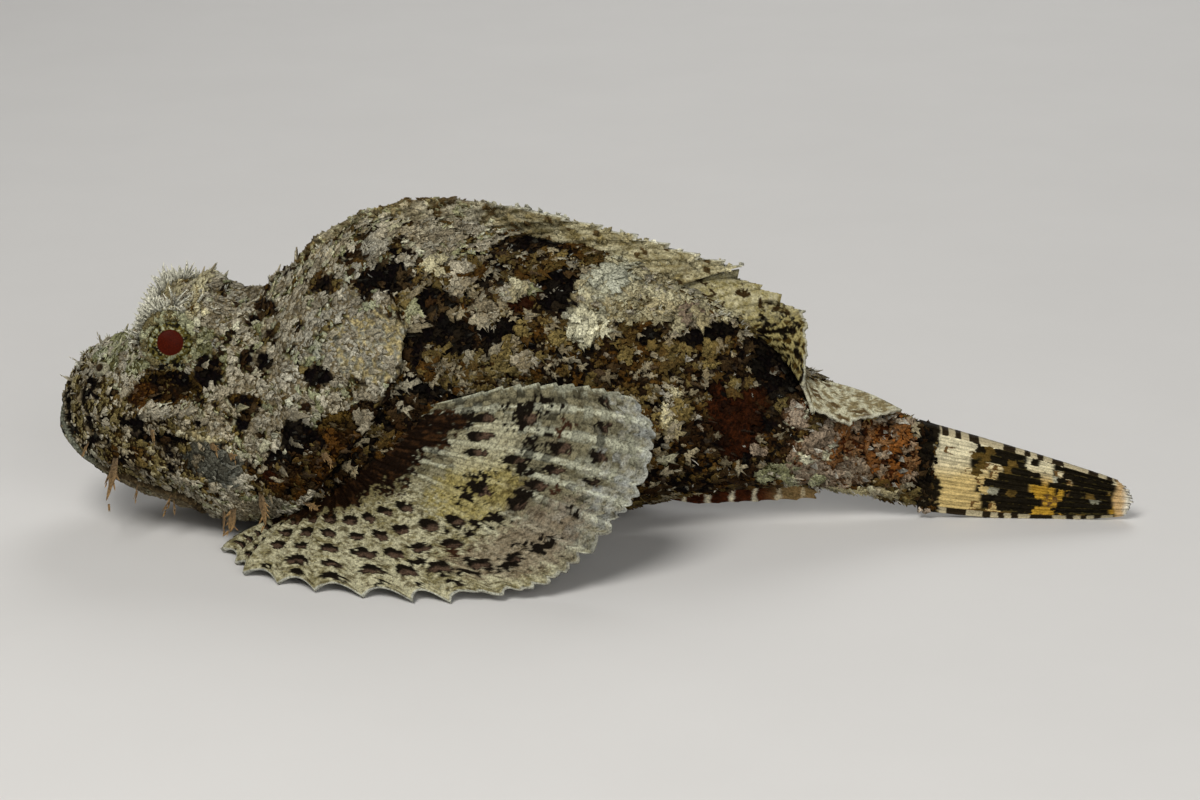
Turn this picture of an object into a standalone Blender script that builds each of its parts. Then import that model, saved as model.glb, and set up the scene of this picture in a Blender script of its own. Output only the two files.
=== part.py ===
"""A spotted scorpionfish at rest on the bottom, life size, as a still museum model.

The fish lies along X with its snout at -X, its left side at -Y and its belly on z = 0.
Sizes are in millimetres until a mesh is made, where MM turns them into metres.
"""

import math

import bmesh
import bpy
import numpy as np
from mathutils import Vector

MM = 0.001
GAP = 0.3  # clear space that touching pieces keep

# Places along the fish
SNOUT_X = -134.0
GILL_X = -60.0  # station of the gill edge, before the edge curves
STEM_X = 44.0  # torso to tail stem
TAIL_BASE_X = 82.0
TAIL_TIP_X = 134.0

# The body's outline: (place along the fish, size there)
BACK_LINE = (
    (-134, 31), (-132.5, 37), (-130, 41), (-124, 45), (-117, 48.5), (-111, 54.5),
    (-104, 57.5), (-96, 57.5), (-89, 58.5), (-84, 63.5), (-76, 69.5), (-64, 75),
    (-50, 78), (-38, 78), (-25, 76), (-12, 73), (0, 69.5), (12, 65), (25, 58.5),
    (38, 50.5), (50, 40.5), (62, 33), (74, 28), (82, 25.5),
)
BELLY_LINE = (
    (-134, 25.5), (-132.5, 22), (-129, 17.6), (-121, 12.2), (-113, 8), (-105, 4.8),
    (-96, 2.4), (-84, 0.8), (-72, -0.6), (-20, -0.8), (-4, 0.6), (12, 4),
    (30, 6.6), (52, 7.6), (64, 6), (74, 3.6), (82, 2),
)
HALF_WIDTH = (
    (-134, 5), (-132.5, 9), (-129, 13), (-122, 17.5), (-113, 20.5), (-104, 22.5),
    (-95, 25.5), (-84, 29), (-72, 31), (-60, 31), (-48, 29.5), (-30, 27),
    (-10, 23.5), (10, 19.5), (30, 15), (48, 10.8), (62, 7.8), (74, 5.8), (82, 4.8),
)
WIDEST_LINE = (
    (-134, 27.5), (-122, 27), (-104, 28), (-84, 30), (-60, 33), (-30, 33),
    (0, 31), (25, 28), (48, 22), (62, 18.5), (82, 13.5),
)
# The line that the tips of the folded back spines lie on
FOLD_LINE = (
    (-80, 71.5), (-67, 77), (-56, 80.5), (-44, 82.8), (-34, 82.4), (-25, 81.2), (-12.5, 79),
    (0, 75.8), (12.5, 72.5), (25, 68.3), (35, 65.6),
)
UPPER_FULLNESS = ((-134, 2.3), (-115, 2.15), (-98, 2.15), (-84, 1.9), (-20, 1.8), (82, 2.0))
LOWER_FULLNESS = ((-134, 2.3), (-110, 2.3), (-80, 2.6), (-40, 2.8), (0, 2.5), (30, 2.1), (82, 2.0))

# The gill edge bulges back at this height and runs forward above and below it
GILL_BULGE_Z = 52.0
GILL_REACH = 12.0
GILL_TOP_DROP = 12.0
GILL_THROAT_DROP = 36.0
NAPE_Z = 76.0
LEAN_FROM_X = -112.0
LEAN_TO_X = -14.0
GILL_STEP = 2.6  # how far the gill cover stands proud of the shoulder
GILL_STEP_RUN = 7.0
GILL_STEP_LOW = (6.0, 16.0)  # heights between which the step grows to its full depth
GILL_STEP_HIGH = (60.0, 72.0)  # and fades out again

TAIL_BEND_FROM_X = 30.0
TAIL_BEND = 4.0  # how far the tail's tip swings towards the fish's left

EYE_X, EYE_Y, EYE_Z = -105.0, 11.8, 49.8
EYE_RADIUS = 7.4
EYE_WAY = (-0.12, 1.0, 0.26)  # the way the right eye looks
EYE_OPENING = 5.9
EYE_OPENING_SIDES = 18
LID_RADIUS = 0.95
LID_RING_RADIUS = 6.4
LID_OUT = 4.3  # from the eye's middle to the lid

# Swellings and hollows of the head: place, spread along each axis, height
SWELLINGS = (
    ((-107.0, 12.5, 56.0), (9.5, 6.5, 5.5), 6.4),  # brow over the eye
    ((-107.0, 0.0, 58.0), (13.0, 5.0, 9.0), -5.4),  # trough between the eyes
    ((-89.5, 0.0, 60.0), (5.5, 9.0, 8.0), -2.8),  # pit behind the eyes
    ((-106.0, 20.0, 40.0), (8.0, 8.0, 3.5), -1.8),  # hollow under the eye
    ((-122.0, 0.0, 46.0), (6.0, 4.0, 6.0), 1.4),  # bones at the tip of the snout
    ((-60.0, 30.0, 50.0), (13.0, 8.0, 11.0), 1.4),  # gill cover
    ((-92.0, 26.0, 24.0), (12.0, 8.0, 9.0), 1.0),  # cheek
)
# Long ridges of the head: start and end in side view, radius, height
RIDGES = (
    ((-123.0, 32.0), (-85.0, 37.5), 2.0, 1.6),  # bony stay below the eye
    ((-125.0, 24.5), (-101.0, 17.5), 3.6, 1.3),  # upper jawbone
    ((-77.0, 45.0), (-73.0, 31.0), 2.4, 1.5),  # edge of the cheek, upper
    ((-73.0, 31.0), (-79.0, 17.0), 2.4, 1.5),  # edge of the cheek, lower
    ((-97.0, 56.0), (-84.0, 62.0), 4.0, 4.4),  # crest beside the nape
)
RIDGE_MIN_Y = (4.0, 7.0)  # the ridges grow over this stretch beside the middle

# The mouth's line in side view, from above the lip to the corner, then round the jaw
MOUTH_LINE = (
    (-140, 34), (-133.8, 31), (-131.2, 25.5), (-127.5, 20.6), (-119, 17),
    (-110, 13.4), (-100, 10.6), (-97, 5), (-96, -6),
)
JAW_STANDS_PROUD = 0.8
CLEAR_OF_SIDES = 60.0
JAW_STATION_COUNT = 26  # the first cross-sections of the head, which the lower jaw reaches over

# Spines of the head: place on the skin, way they point, length
HEAD_SPINES = (
    ((-120.5, 6.0, 48.0), (0.6, 0.2, 1.0), 3.6),  # nasal
    ((-112.5, 12.0, 57.0), (0.5, 0.2, 1.0), 3.6),  # before the eye
    ((-105.0, 12.5, 61.0), (0.8, 0.2, 1.0), 4.0),  # over the eye
    ((-98.0, 12.0, 60.0), (1.0, 0.2, 0.9), 4.6),  # behind the eye
    ((-92.5, 11.0, 61.0), (1.0, 0.1, 0.8), 4.4),  # temple
    ((-86.0, 8.5, 66.0), (1.0, 0.1, 0.7), 5.0),  # crown
    ((-79.0, 8.0, 70.0), (1.0, 0.1, 0.6), 5.4),  # nape
    ((-112.0, 21.0, 33.5), (1.0, 0.9, 0.2), 3.6),  # stay below the eye
    ((-100.0, 23.5, 35.5), (1.0, 0.9, 0.2), 3.6),
    ((-88.0, 27.5, 37.5), (1.0, 0.8, 0.2), 4.2),
    ((-74.5, 30.5, 36.5), (1.0, 0.5, 0.1), 6.5),  # edge of the cheek
    ((-74.0, 30.5, 30.5), (1.0, 0.6, -0.2), 4.4),
    ((-77.0, 29.5, 24.0), (0.8, 0.6, -0.5), 4.0),
    ((-80.5, 28.0, 17.5), (0.6, 0.6, -0.8), 3.6),
    ((-57.0, 29.0, 58.5), (1.0, 0.3, 0.25), 5.0),  # gill cover
    ((-56.0, 30.5, 48.0), (1.0, 0.4, 0.0), 5.0),
)
SPINE_RADIUS = 1.15
SPINE_SIDES = 5
SPINE_SUNK = 1.4
SPINE_LIFT = 0.35  # how much each spine turns out of the skin

# Flaps of skin on the head: place, way, length, width
HEAD_FLAPS = (
    ((-119.0, 18.5, 22.5), (-0.12, 0.4, -1.0), 11.0, 3.4),  # long flap at the upper lip
    ((-126.0, 15.0, 25.0), (-0.3, 0.9, -0.7), 4.2, 2.2),
    ((-89.5, 23.5, 12.0), (-0.1, 0.3, -1.0), 6.4, 3.6),  # fringe below the cheek
    ((-82.5, 27.0, 17.5), (0.2, 0.35, -1.0), 8.5, 3.0),
    ((-93.0, 21.5, 9.0), (0.2, 0.6, -1.0), 4.6, 2.4),
    ((-102.5, 13.0, 61.5), (-0.35, 0.3, 1.0), 5.6, 1.8),  # tuft on the brow
    ((-104.5, 13.5, 61.5), (0.2, 0.5, 1.0), 4.6, 1.6),
    ((-115.0, 11.0, 54.5), (-0.9, 0.3, 0.7), 4.2, 1.8),
    ((-117.0, 9.0, 50.5), (-1.0, 0.4, 0.5), 3.8, 1.6),
    ((-126.0, 10.5, 44.0), (-0.7, 0.5, 0.9), 3.4, 1.8),
    ((-131.5, 7.0, 38.5), (-1.0, 0.4, 0.4), 2.8, 1.8),
    ((-97.0, 20.5, 46.0), (0.7, 0.9, 0.3), 4.2, 2.2),
    ((-86.0, 25.0, 47.0), (1.0, 0.8, -0.2), 4.6, 2.6),
    ((-68.0, 28.5, 58.0), (1.0, 0.6, 0.4), 4.6, 2.6),
    ((-66.0, 31.0, 42.0), (1.0, 0.7, -0.3), 4.6, 2.6),
    ((-68.0, 30.0, 28.0), (0.9, 0.7, -0.6), 5.0, 2.6),
    ((-96.0, 25.5, 28.0), (0.8, 0.9, -0.4), 4.4, 2.6),
    ((-110.0, 21.5, 30.0), (0.6, 0.9, -0.7), 4.0, 2.2),
    ((-76.0, 18.0, 64.5), (1.0, 0.6, 0.7), 4.2, 2.4),
)
JAW_FLAPS = (
    ((-124.0, 13.0, 12.0), (-0.3, 0.6, -1.0), 3.8, 2.2),
    ((-116.0, 17.5, 10.5), (0.0, 0.7, -1.0), 4.6, 2.0),
    ((-107.5, 18.0, 7.2), (0.2, 0.7, -0.9), 4.6, 1.8),
)
FLAP_THICK = 0.9
FLAP_SUNK = 1.2
FLAP_CURL = 0.12
# Flaps of the body
FLAP_LENGTHS = (3.4, 5.6)
FLAP_WIDTHS = (2.2, 3.2)
FLAP_LIFT = 0.75
# Along a flap: share of its length, half width as a share of its width, share of its thickness
FLAP_SHAPE = ((0.0, 0.34, 1.0), (0.55, 0.5, 0.85), (1.0, 0.08, 0.55))
# Nostrils: place, radius, height
NOSTRILS = (((-122.5, 11.0, 42.5), 2.1, 1.5), ((-115.5, 14.5, 46.0), 1.5, 0.9))
NOSTRIL_SIDES = 8
NOSTRIL_SUNK = 1.0
NOSTRIL_FLOOR = 0.2

RING_POINTS = 32
# Where the cross-sections of each length stand, closer together at the snout
HEAD_STATIONS = SNOUT_X + (GILL_X - GAP / 2 - SNOUT_X) * np.linspace(0, 1, 32) ** 1.25
TORSO_STATIONS = np.linspace(GILL_X + GAP / 2, STEM_X - GAP / 2, 22)
STEM_STATIONS = np.linspace(STEM_X + GAP / 2, TAIL_BASE_X - GAP / 2, 9)


def smooth_curve(points):
    """A curve through (place, value) points, cubic between them, that doesn't overshoot."""
    place, value = np.array(points, float).T
    step = np.diff(place)
    rise = np.diff(value) / step
    slope = np.zeros_like(value)
    slope[0], slope[-1] = rise[0], rise[-1]
    both = rise[:-1] + rise[1:]
    turns = rise[:-1] * rise[1:] <= 0
    slope[1:-1] = np.where(turns, 0, 2 * rise[:-1] * rise[1:] / np.where(turns, 1, both))

    def value_at(x):
        x = np.clip(x, place[0], place[-1])
        i = np.clip(np.searchsorted(place, x, side="right") - 1, 0, len(step) - 1)
        t = (x - place[i]) / step[i]
        return (
            value[i] * (1 + 2 * t) * (1 - t) ** 2
            + slope[i] * step[i] * t * (1 - t) ** 2
            + value[i + 1] * t * t * (3 - 2 * t)
            - slope[i + 1] * step[i] * t * t * (1 - t)
        )

    return value_at


back_at = smooth_curve(BACK_LINE)
belly_at = smooth_curve(BELLY_LINE)
half_width_at = smooth_curve(HALF_WIDTH)
widest_at = smooth_curve(WIDEST_LINE)
upper_fullness_at = smooth_curve(UPPER_FULLNESS)
lower_fullness_at = smooth_curve(LOWER_FULLNESS)
fold_at = smooth_curve(FOLD_LINE)


def smooth_step(low, high, x):
    t = np.clip((x - low) / (high - low), 0, 1)
    return t * t * (3 - 2 * t)


def lean_at(station):
    """How far a cross-section follows the gill edge's curve: 1 at the edge, 0 far from it."""
    return smooth_step(LEAN_FROM_X, GILL_X, station) * (1 - smooth_step(GILL_X, LEAN_TO_X, station))


def gill_edge(height):
    """How far behind GILL_X the gill edge lies at a height."""
    above = np.clip(height - GILL_BULGE_Z, 0, None) / (NAPE_Z - GILL_BULGE_Z)
    below = np.clip(GILL_BULGE_Z - height, 0, None) / GILL_BULGE_Z
    return GILL_REACH - GILL_TOP_DROP * above**2 - GILL_THROAT_DROP * below**1.4


def tail_bend_at(x):
    along = np.clip((x - TAIL_BEND_FROM_X) / (TAIL_TIP_X - TAIL_BEND_FROM_X), 0, None)
    return -TAIL_BEND * along**2


def relief(x, y, z):
    """Height of the head's swellings and ridges over the plain form."""
    height = np.zeros_like(x)
    side = np.abs(y)
    for centre, spread, rise in SWELLINGS:
        away = sum(((p - c) / s) ** 2 for p, c, s in zip((x, side, z), centre, spread))
        height += rise * np.exp(-away)
    for start, end, radius, rise in RIDGES:
        run = np.subtract(end, start)
        along = ((x - start[0]) * run[0] + (z - start[1]) * run[1]) / (run @ run)
        along = np.clip(along, 0, 1)
        away = np.hypot(x - start[0] - along * run[0], z - start[1] - along * run[1])
        height += rise * np.exp(-((away / radius) ** 2)) * smooth_step(*RIDGE_MIN_Y, side)
    return height


def skin_points(station, angle, grow=0.0):
    """Points of the skin at stations along the fish and angles round it, 0 on the back and pi below.

    Each cross-section is two half superellipses that meet at the widest line, pushed out by the
    relief and by grow. The shoulder is pulled in where the gill cover stands over it.
    """
    station, angle = np.broadcast_arrays(np.asarray(station, float), np.asarray(angle, float))
    lean = lean_at(station)
    middle = widest_at(station)
    top = back_at(station + lean * gill_edge(NAPE_Z))
    bottom = belly_at(station + lean * gill_edge(0.0))
    width = half_width_at(station + lean * gill_edge(middle))
    upper = np.cos(angle) > 0
    power = 2 / np.where(upper, upper_fullness_at(station), lower_fullness_at(station))
    half_height = np.where(upper, top - middle, middle - bottom)
    y = width * np.sign(np.sin(angle)) * np.abs(np.sin(angle)) ** power
    z = middle + half_height * np.sign(np.cos(angle)) * np.abs(np.cos(angle)) ** power
    out_y, out_z = y / width**2, (z - middle) / half_height**2
    length = np.hypot(out_y, out_z)
    x = station + lean * gill_edge(z)
    push = grow + relief(x, y, z)
    window = smooth_step(*GILL_STEP_LOW, z) * (1 - smooth_step(*GILL_STEP_HIGH, z)) * (station > GILL_X)
    push = push - GILL_STEP * window * np.exp(-np.abs(station - GILL_X) / GILL_STEP_RUN)
    y = y + push * out_y / length
    z = np.maximum(z + push * out_z / length, -grow)
    x = station + lean * gill_edge(z)
    return np.stack([x, y + tail_bend_at(x), z], axis=-1)


def material(name, colour, roughness, metallic=0.0):
    made = bpy.data.materials.new(name)
    made.use_nodes = True
    shader = made.node_tree.nodes["Principled BSDF"]
    shader.inputs["Base Color"].default_value = (*colour, 1)
    shader.inputs["Roughness"].default_value = roughness
    shader.inputs["Metallic"].default_value = metallic
    return made


def object_of(name, points, faces, finish=None):
    """An object whose mesh is these points, in millimetres, and faces, turned to point outwards."""
    mesh = bpy.data.meshes.new(name)
    mesh.from_pydata([tuple(p) for p in np.asarray(points) * MM], [], faces)
    work = bmesh.new()
    work.from_mesh(mesh)
    bmesh.ops.recalc_face_normals(work, faces=work.faces[:])
    bmesh.ops.triangulate(work, faces=work.faces[:])
    if work.calc_volume(signed=True) < 0:
        bmesh.ops.reverse_faces(work, faces=work.faces[:])
    work.to_mesh(mesh)
    work.free()
    mesh.shade_smooth()
    mesh.set_sharp_from_angle(angle=math.radians(40))
    if finish:
        mesh.materials.append(finish)
    made = bpy.data.objects.new(name, mesh)
    bpy.context.scene.collection.objects.link(made)
    return made


def body_length(name, stations, finish=None, grow=0.0):
    """One length of the body: rings of skin, closed at each end by rungs from side to side."""
    angles = np.arange(RING_POINTS) * 2 * math.pi / RING_POINTS
    rings = skin_points(stations[:, None], angles[None, :], grow)
    n, last = RING_POINTS, (len(stations) - 1) * RING_POINTS
    faces = [
        (r * n + k, r * n + (k + 1) % n, (r + 1) * n + (k + 1) % n, (r + 1) * n + k)
        for r in range(len(stations) - 1)
        for k in range(n)
    ]
    for first in (0, last):
        faces.append((first, first + 1, first + n - 1))
        faces.append((first + n // 2, first + n // 2 - 1, first + n // 2 + 1))
        faces += [
            (first + k, first + k + 1, first + n - k - 1, first + n - k)
            for k in range(1, n // 2 - 1)
        ]
    return object_of(name, rings.reshape(-1, 3), faces, finish)


def keep_largest(thing):
    """Leaves only the closed surface that encloses most."""
    work = bmesh.new()
    work.from_mesh(thing.data)
    left, parts = set(work.faces), []
    while left:
        part, edge = set(), [left.pop()]
        while edge:
            face = edge.pop()
            part.add(face)
            near = {f for e in face.edges for f in e.link_faces} & left
            left -= near
            edge += near
        parts.append(part)

    def volume(part):
        return sum(
            loops[0].vert.co.dot(loops[i].vert.co.cross(loops[i + 1].vert.co))
            for loops in (face.loops[:] for face in part)
            for i in range(1, len(loops) - 1)
        )

    largest = max(parts, key=volume)
    loose = [face for part in parts if part is not largest for face in part]
    bmesh.ops.delete(work, geom=loose, context="FACES")
    bmesh.ops.triangulate(work, faces=work.faces[:])
    work.to_mesh(thing.data)
    work.free()


def combine(thing, pieces, operation):
    """Joins pieces to a thing, or cuts them from it, in one Boolean that is applied."""
    group = bpy.data.collections.new("pieces")
    bpy.context.scene.collection.children.link(group)
    for piece in pieces:
        bpy.context.scene.collection.objects.unlink(piece)
        group.objects.link(piece)
    step = thing.modifiers.new("combine", "BOOLEAN")
    step.operation = operation
    step.operand_type = "COLLECTION"
    step.collection = group
    step.solver = "EXACT"
    graph = bpy.context.evaluated_depsgraph_get()
    whole = bpy.data.meshes.new_from_object(thing.evaluated_get(graph))
    thing.modifiers.clear()
    old, thing.data = thing.data, whole
    bpy.data.meshes.remove(old)
    whole.name = thing.name
    for piece in list(group.objects):
        bpy.data.objects.remove(piece)
    bpy.data.collections.remove(group)
    keep_largest(thing)


def unit(v):
    v = np.asarray(v, float)
    return v / np.linalg.norm(v)


class Skin:
    """A fine map of the skin, to set things on it."""

    def __init__(self):
        stations = np.linspace(SNOUT_X, TAIL_BASE_X, 241)
        angles = np.linspace(0, 2 * math.pi, 181)
        self.points = skin_points(stations[:, None], angles[None, :])
        along = np.gradient(self.points, axis=0)
        around = np.gradient(self.points, axis=1)
        normals = np.cross(around, along)
        normals /= np.linalg.norm(normals, axis=-1, keepdims=True) + 1e-12
        middle = self.points.mean(axis=1, keepdims=True)
        if ((self.points - middle) * normals).sum() < 0:
            normals = -normals
        self.normals = normals

    def at(self, x, y, z):
        """The skin's point nearest to (x, y, z), and the direction out of it."""
        away = ((self.points - np.array([x, y, z])) ** 2).sum(axis=-1)
        row, column = np.unravel_index(away.argmin(), away.shape)
        return self.points[row, column], self.normals[row, column]


def ring_about(centre, way, radius, sides):
    """Points on a circle about a centre, square to a way."""
    way = unit(way)
    across = unit(np.cross(way, (0.3, 0.2, 0.9)))
    turns = np.arange(sides)[:, None] * 2 * math.pi / sides
    return centre + radius * (np.cos(turns) * across + np.sin(turns) * np.cross(way, across))


def tube(name, rings):
    """A closed body through rings of like points, with a flat face at each end."""
    n, count = len(rings[0]), len(rings)
    faces = [
        (r * n + k, r * n + (k + 1) % n, (r + 1) * n + (k + 1) % n, (r + 1) * n + k)
        for r in range(count - 1)
        for k in range(n)
    ]
    faces += [tuple(range(n)), tuple(range((count - 1) * n, count * n))]
    return object_of(name, np.concatenate(rings), faces)


def spike(root, out, way, length):
    """A bony spine: a cone of few sides that leaves the skin between a way and straight out."""
    start = root - out * SPINE_SUNK
    aim = unit(unit(way) + SPINE_LIFT * out)
    ring = ring_about(start, aim, SPINE_RADIUS, SPINE_SIDES)
    faces = [(k, (k + 1) % SPINE_SIDES, SPINE_SIDES) for k in range(SPINE_SIDES)]
    faces.append(tuple(range(SPINE_SIDES)))
    return object_of("spike", [*ring, start + aim * (length + SPINE_SUNK)], faces)


def leaf(root, out, way, length, width):
    """A flap of skin: a flat, tapered leaf from a sunk root, which curls away from the skin."""
    start, aim, reach = root - out * FLAP_SUNK, unit(way), length + FLAP_SUNK
    across = unit(np.cross(aim, out))
    face = np.cross(across, aim)
    face = face if face @ out > 0 else -face
    rings = []
    for along, half, share in FLAP_SHAPE:
        middle = start + aim * reach * along + face * FLAP_CURL * reach * along**2
        side, depth = across * half * width, face * share * FLAP_THICK / 2
        corners = (side + depth, depth - side, -side - depth, side - depth)
        rings.append(np.array([middle + corner for corner in corners]))
    return tube("leaf", rings)


def nostril(root, out, radius, height):
    """A short tube of skin with a pit in its end."""
    outline = ((-NOSTRIL_SUNK, 1.0), (height, 0.85), (height, 0.5), (NOSTRIL_FLOOR, 0.4))
    rings = [
        ring_about(root + out * rise, out, radius * share, NOSTRIL_SIDES) for rise, share in outline
    ]
    return tube("nostril", rings)


def eye_middle(side):
    return np.array([EYE_X, side * EYE_Y, EYE_Z])


def eye_axes(side):
    """The way an eye looks, and two directions across it."""
    way = unit((EYE_WAY[0], side * EYE_WAY[1], EYE_WAY[2]))
    across = unit(np.cross((0, 0, 1), way))
    return way, across, np.cross(way, across)


def ball(name, side, radius, finish=None):
    """A ball about the middle of one eye."""
    work = bmesh.new()
    bmesh.ops.create_uvsphere(work, u_segments=18, v_segments=10, radius=radius * MM)
    bmesh.ops.translate(work, verts=work.verts[:], vec=Vector(eye_middle(side)) * MM)
    mesh = bpy.data.meshes.new(name)
    work.to_mesh(mesh)
    work.free()
    mesh.shade_smooth()
    if finish:
        mesh.materials.append(finish)
    made = bpy.data.objects.new(name, mesh)
    bpy.context.scene.collection.objects.link(made)
    return made


def lid(side):
    """The eyelid: a ring of skin round the eye's opening."""
    way, across, over = eye_axes(side)
    centre = eye_middle(side) + way * LID_OUT
    turns, sides = 16, 6
    around = np.arange(turns)[:, None] * 2 * math.pi / turns
    section = np.arange(sides)[None, :] * 2 * math.pi / sides
    reach = (LID_RING_RADIUS + LID_RADIUS * np.cos(section))[..., None]
    ring = np.cos(around)[..., None] * across + np.sin(around)[..., None] * over
    points = centre + reach * ring + LID_RADIUS * np.sin(section)[..., None] * way
    faces = [
        (i * sides + k, (i + 1) % turns * sides + k, (i + 1) % turns * sides + m, i * sides + m)
        for i in range(turns)
        for k, m in zip(range(sides), [*range(1, sides), 0])
    ]
    return object_of("lid", points.reshape(-1, 3), faces)


def eye_opening(side):
    """A bar from the eye's middle outwards, which cuts the opening between the lids."""
    middle, (way, _, _) = eye_middle(side), eye_axes(side)
    ends = (middle, middle + way * 2 * EYE_RADIUS)
    return tube("opening", [ring_about(end, way, EYE_OPENING, EYE_OPENING_SIDES) for end in ends])


def jaw_region(shift):
    """A bar across the fish that holds all in front of and below the mouth's line."""
    corner = (MOUTH_LINE[0][0], MOUTH_LINE[-1][1])
    x, z = np.array([*MOUTH_LINE, corner]).T + shift
    rings = [np.stack([x, 0 * x + y, z], axis=-1) for y in (-CLEAR_OF_SIDES, CLEAR_OF_SIDES)]
    return tube("jaw_region", rings)


def on_both_sides(skin, table, shape):
    """Sets a shape on the skin at each entry (place, way, sizes) of a table, and at its mirror image."""
    made = []
    for place, way, *sizes in table:
        for mirror in ((1, -1, 1), (1, 1, 1)):
            root, out = skin.at(*np.multiply(place, mirror))
            made.append(shape(root, out, np.multiply(way, mirror), *sizes))
    return made


def taken(spot):
    """True where a flap would meet a fin or the floor."""
    x, _, z = spot
    pectoral = x < -24 and z < 46
    pelvic = x < -20 and z < 9
    flopped_fin = x > 38 and spot[1] < 0 and z > 24
    keel = x > 4 and z < 11
    return pectoral or pelvic or flopped_fin or keel or z < 4 or z > back_at(x) - 7


def scattered_flaps(skin, first, last, rows, per_row, seed):
    """Flaps set in staggered rows over a length of the body, which point back and out."""
    draw = np.random.default_rng(seed)
    made = []
    for row in range(rows):
        x = first + (last - first) * (row + 0.5) / rows
        for side in (-1, 1):
            for k in range(per_row):
                share = (k + 0.5 + 0.5 * (row % 2) + draw.uniform(-0.2, 0.2)) / (per_row + 0.5)
                spot = skin_points(x + draw.uniform(-2, 2), side * (0.16 + 0.66 * share) * math.pi)
                length, width = draw.uniform(*FLAP_LENGTHS), draw.uniform(*FLAP_WIDTHS)
                droop = draw.uniform(-0.5, 0.3)
                if not taken(spot):
                    root, out = skin.at(*spot)
                    made.append(leaf(root, out, (1, 0, droop) + FLAP_LIFT * out, length, width))
    return made


def fin_columns(roots, tips, bow, rows, notch, crowd=1.0):
    """The middle surface of a fin, (columns, rows, 3).

    A ray is a quadratic curve from its root to its tip that bows by half of bow. Between two rays
    runs one column of membrane, the mean of both, which stops short of their tips by notch.
    """
    roots, tips, bow = (np.asarray(v, float) for v in (roots, tips, bow))
    bow = np.broadcast_to(bow, roots.shape)

    def rays_at(t):
        t = t[None, :, None]
        bend = (roots + tips)[:, None] / 2 + bow[:, None]
        return (1 - t) ** 2 * roots[:, None] + 2 * t * (1 - t) * bend + t**2 * tips[:, None]

    t = np.linspace(0, 1, rows) ** crowd
    rays = rays_at(t)
    webs = rays_at(t * (1 - notch))
    columns = np.empty((2 * len(roots) - 1, rows, 3))
    columns[0::2] = rays
    columns[1::2] = (webs[:-1] + webs[1:]) / 2
    return columns


def sheet(name, middle, thick, finish, on_floor=False, pleat=0.0):
    """A closed sheet about a middle surface, with a thickness and a sideways shift at each point.

    Both faces are split into the same triangles. On the floor no point goes below z = 0.
    """
    columns, rows = middle.shape[:2]
    along = np.gradient(middle, axis=1)
    across = np.gradient(middle, axis=0)
    normal = np.cross(across, along)
    normal /= np.linalg.norm(normal, axis=-1, keepdims=True)
    middle = middle + normal * np.broadcast_to(pleat, (columns, rows))[..., None]
    half = thick[..., None] / 2
    points = np.stack([middle + normal * half, middle - normal * half])
    if on_floor:
        lift = np.clip(-points[..., 2].min(axis=0), 0, None)
        points[..., 2] = np.maximum(points[..., 2] + lift / 2, 0)
    points = points.reshape(-1, 3)
    size = columns * rows
    faces = []
    for i in range(columns - 1):
        for j in range(rows - 1):
            a, b, c, d = i * rows + j, (i + 1) * rows + j, (i + 1) * rows + j + 1, i * rows + j + 1
            faces += [(a, b, c), (a, c, d), (size + a, size + c, size + b), (size + a, size + d, size + c)]
    rim = [(i * rows, (i + 1) * rows) for i in range(columns - 1)]
    rim += [((i + 1) * rows + rows - 1, i * rows + rows - 1) for i in range(columns - 1)]
    rim += [((columns - 1) * rows + j, (columns - 1) * rows + j + 1) for j in range(rows - 1)]
    rim += [(j + 1, j) for j in range(rows - 1)]
    for a, b in rim:
        faces += [(b, a, size + a), (b, size + a, size + b)]
    return object_of(name, points, faces, finish)


def ray_thickness(middle, root, tip, web, crowd=1.0):
    """Thickness over a fin: each ray tapers from root to tip, and the web between is thinner."""
    thick = np.full(middle.shape[:2], web)
    thick[0::2] = root + (tip - root) * np.linspace(0, 1, middle.shape[1]) ** crowd
    return thick


def zigzag(middle, depth):
    """A sideways shift that sets every second ray to the other side."""
    shift = np.zeros(middle.shape[:2])
    shift[0::4] = depth
    shift[2::4] = -depth
    return shift


def fit_to_body(fin):
    """Cuts the root of a fin to fit the whole body, grown by the gap."""
    stations = np.concatenate([HEAD_STATIONS, TORSO_STATIONS, STEM_STATIONS])
    combine(fin, [body_length("cutter", stations, grow=GAP)], "DIFFERENCE")


def through(table, places):
    """Points along a smooth curve through a table of (place, x, y, z)."""
    table = np.array(table, float)
    return np.stack([smooth_curve(table[:, (0, k)])(places) for k in (1, 2, 3)], axis=-1)


# The left pectoral fin, from its lowest ray to its top one
PECTORAL_ROOTS = ((0, -70, -17.5, 6.5), (0.5, -60, -23.5, 19), (1, -48, -24, 34))
PECTORAL_TIPS = (
    (-91, -21, 0.9), (-92.5, -27.5, 0.6), (-88.5, -36, 0.5), (-85.5, -43.5, 0.5), (-77, -49.5, 0.5),
    (-67.5, -54.5, 0.5), (-56, -58.5, 0.5), (-44, -61.5, 0.5), (-35, -62, 0.5), (-24, -61, 0.8),
    (-13.5, -60, 2.4), (-6, -58, 4.6), (0, -55.5, 8.5), (5.5, -53, 15.5), (9, -51.5, 20),
    (12.5, -50, 24), (15.5, -46, 31), (14.5, -41.5, 37), (10.5, -37, 41.5),
)
PECTORAL_BOW = ((0, -1, -2, 3), (0.3, -4, -5, 5), (0.6, -2, -7, 5), (0.85, 1, -6, 8), (1, 5, -4, 13))
PECTORAL_ROWS = 8
PECTORAL_CROWD = 0.9  # below 1 sets the rows closer together at the tips
PECTORAL_THICK = (2.6, 1.1, 0.8)  # a ray's root, its tip, the web
PECTORAL_BASE_THICK = 3.4  # more at the fleshy base, over this share of the rays
PECTORAL_BASE_REACH = 0.16


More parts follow.
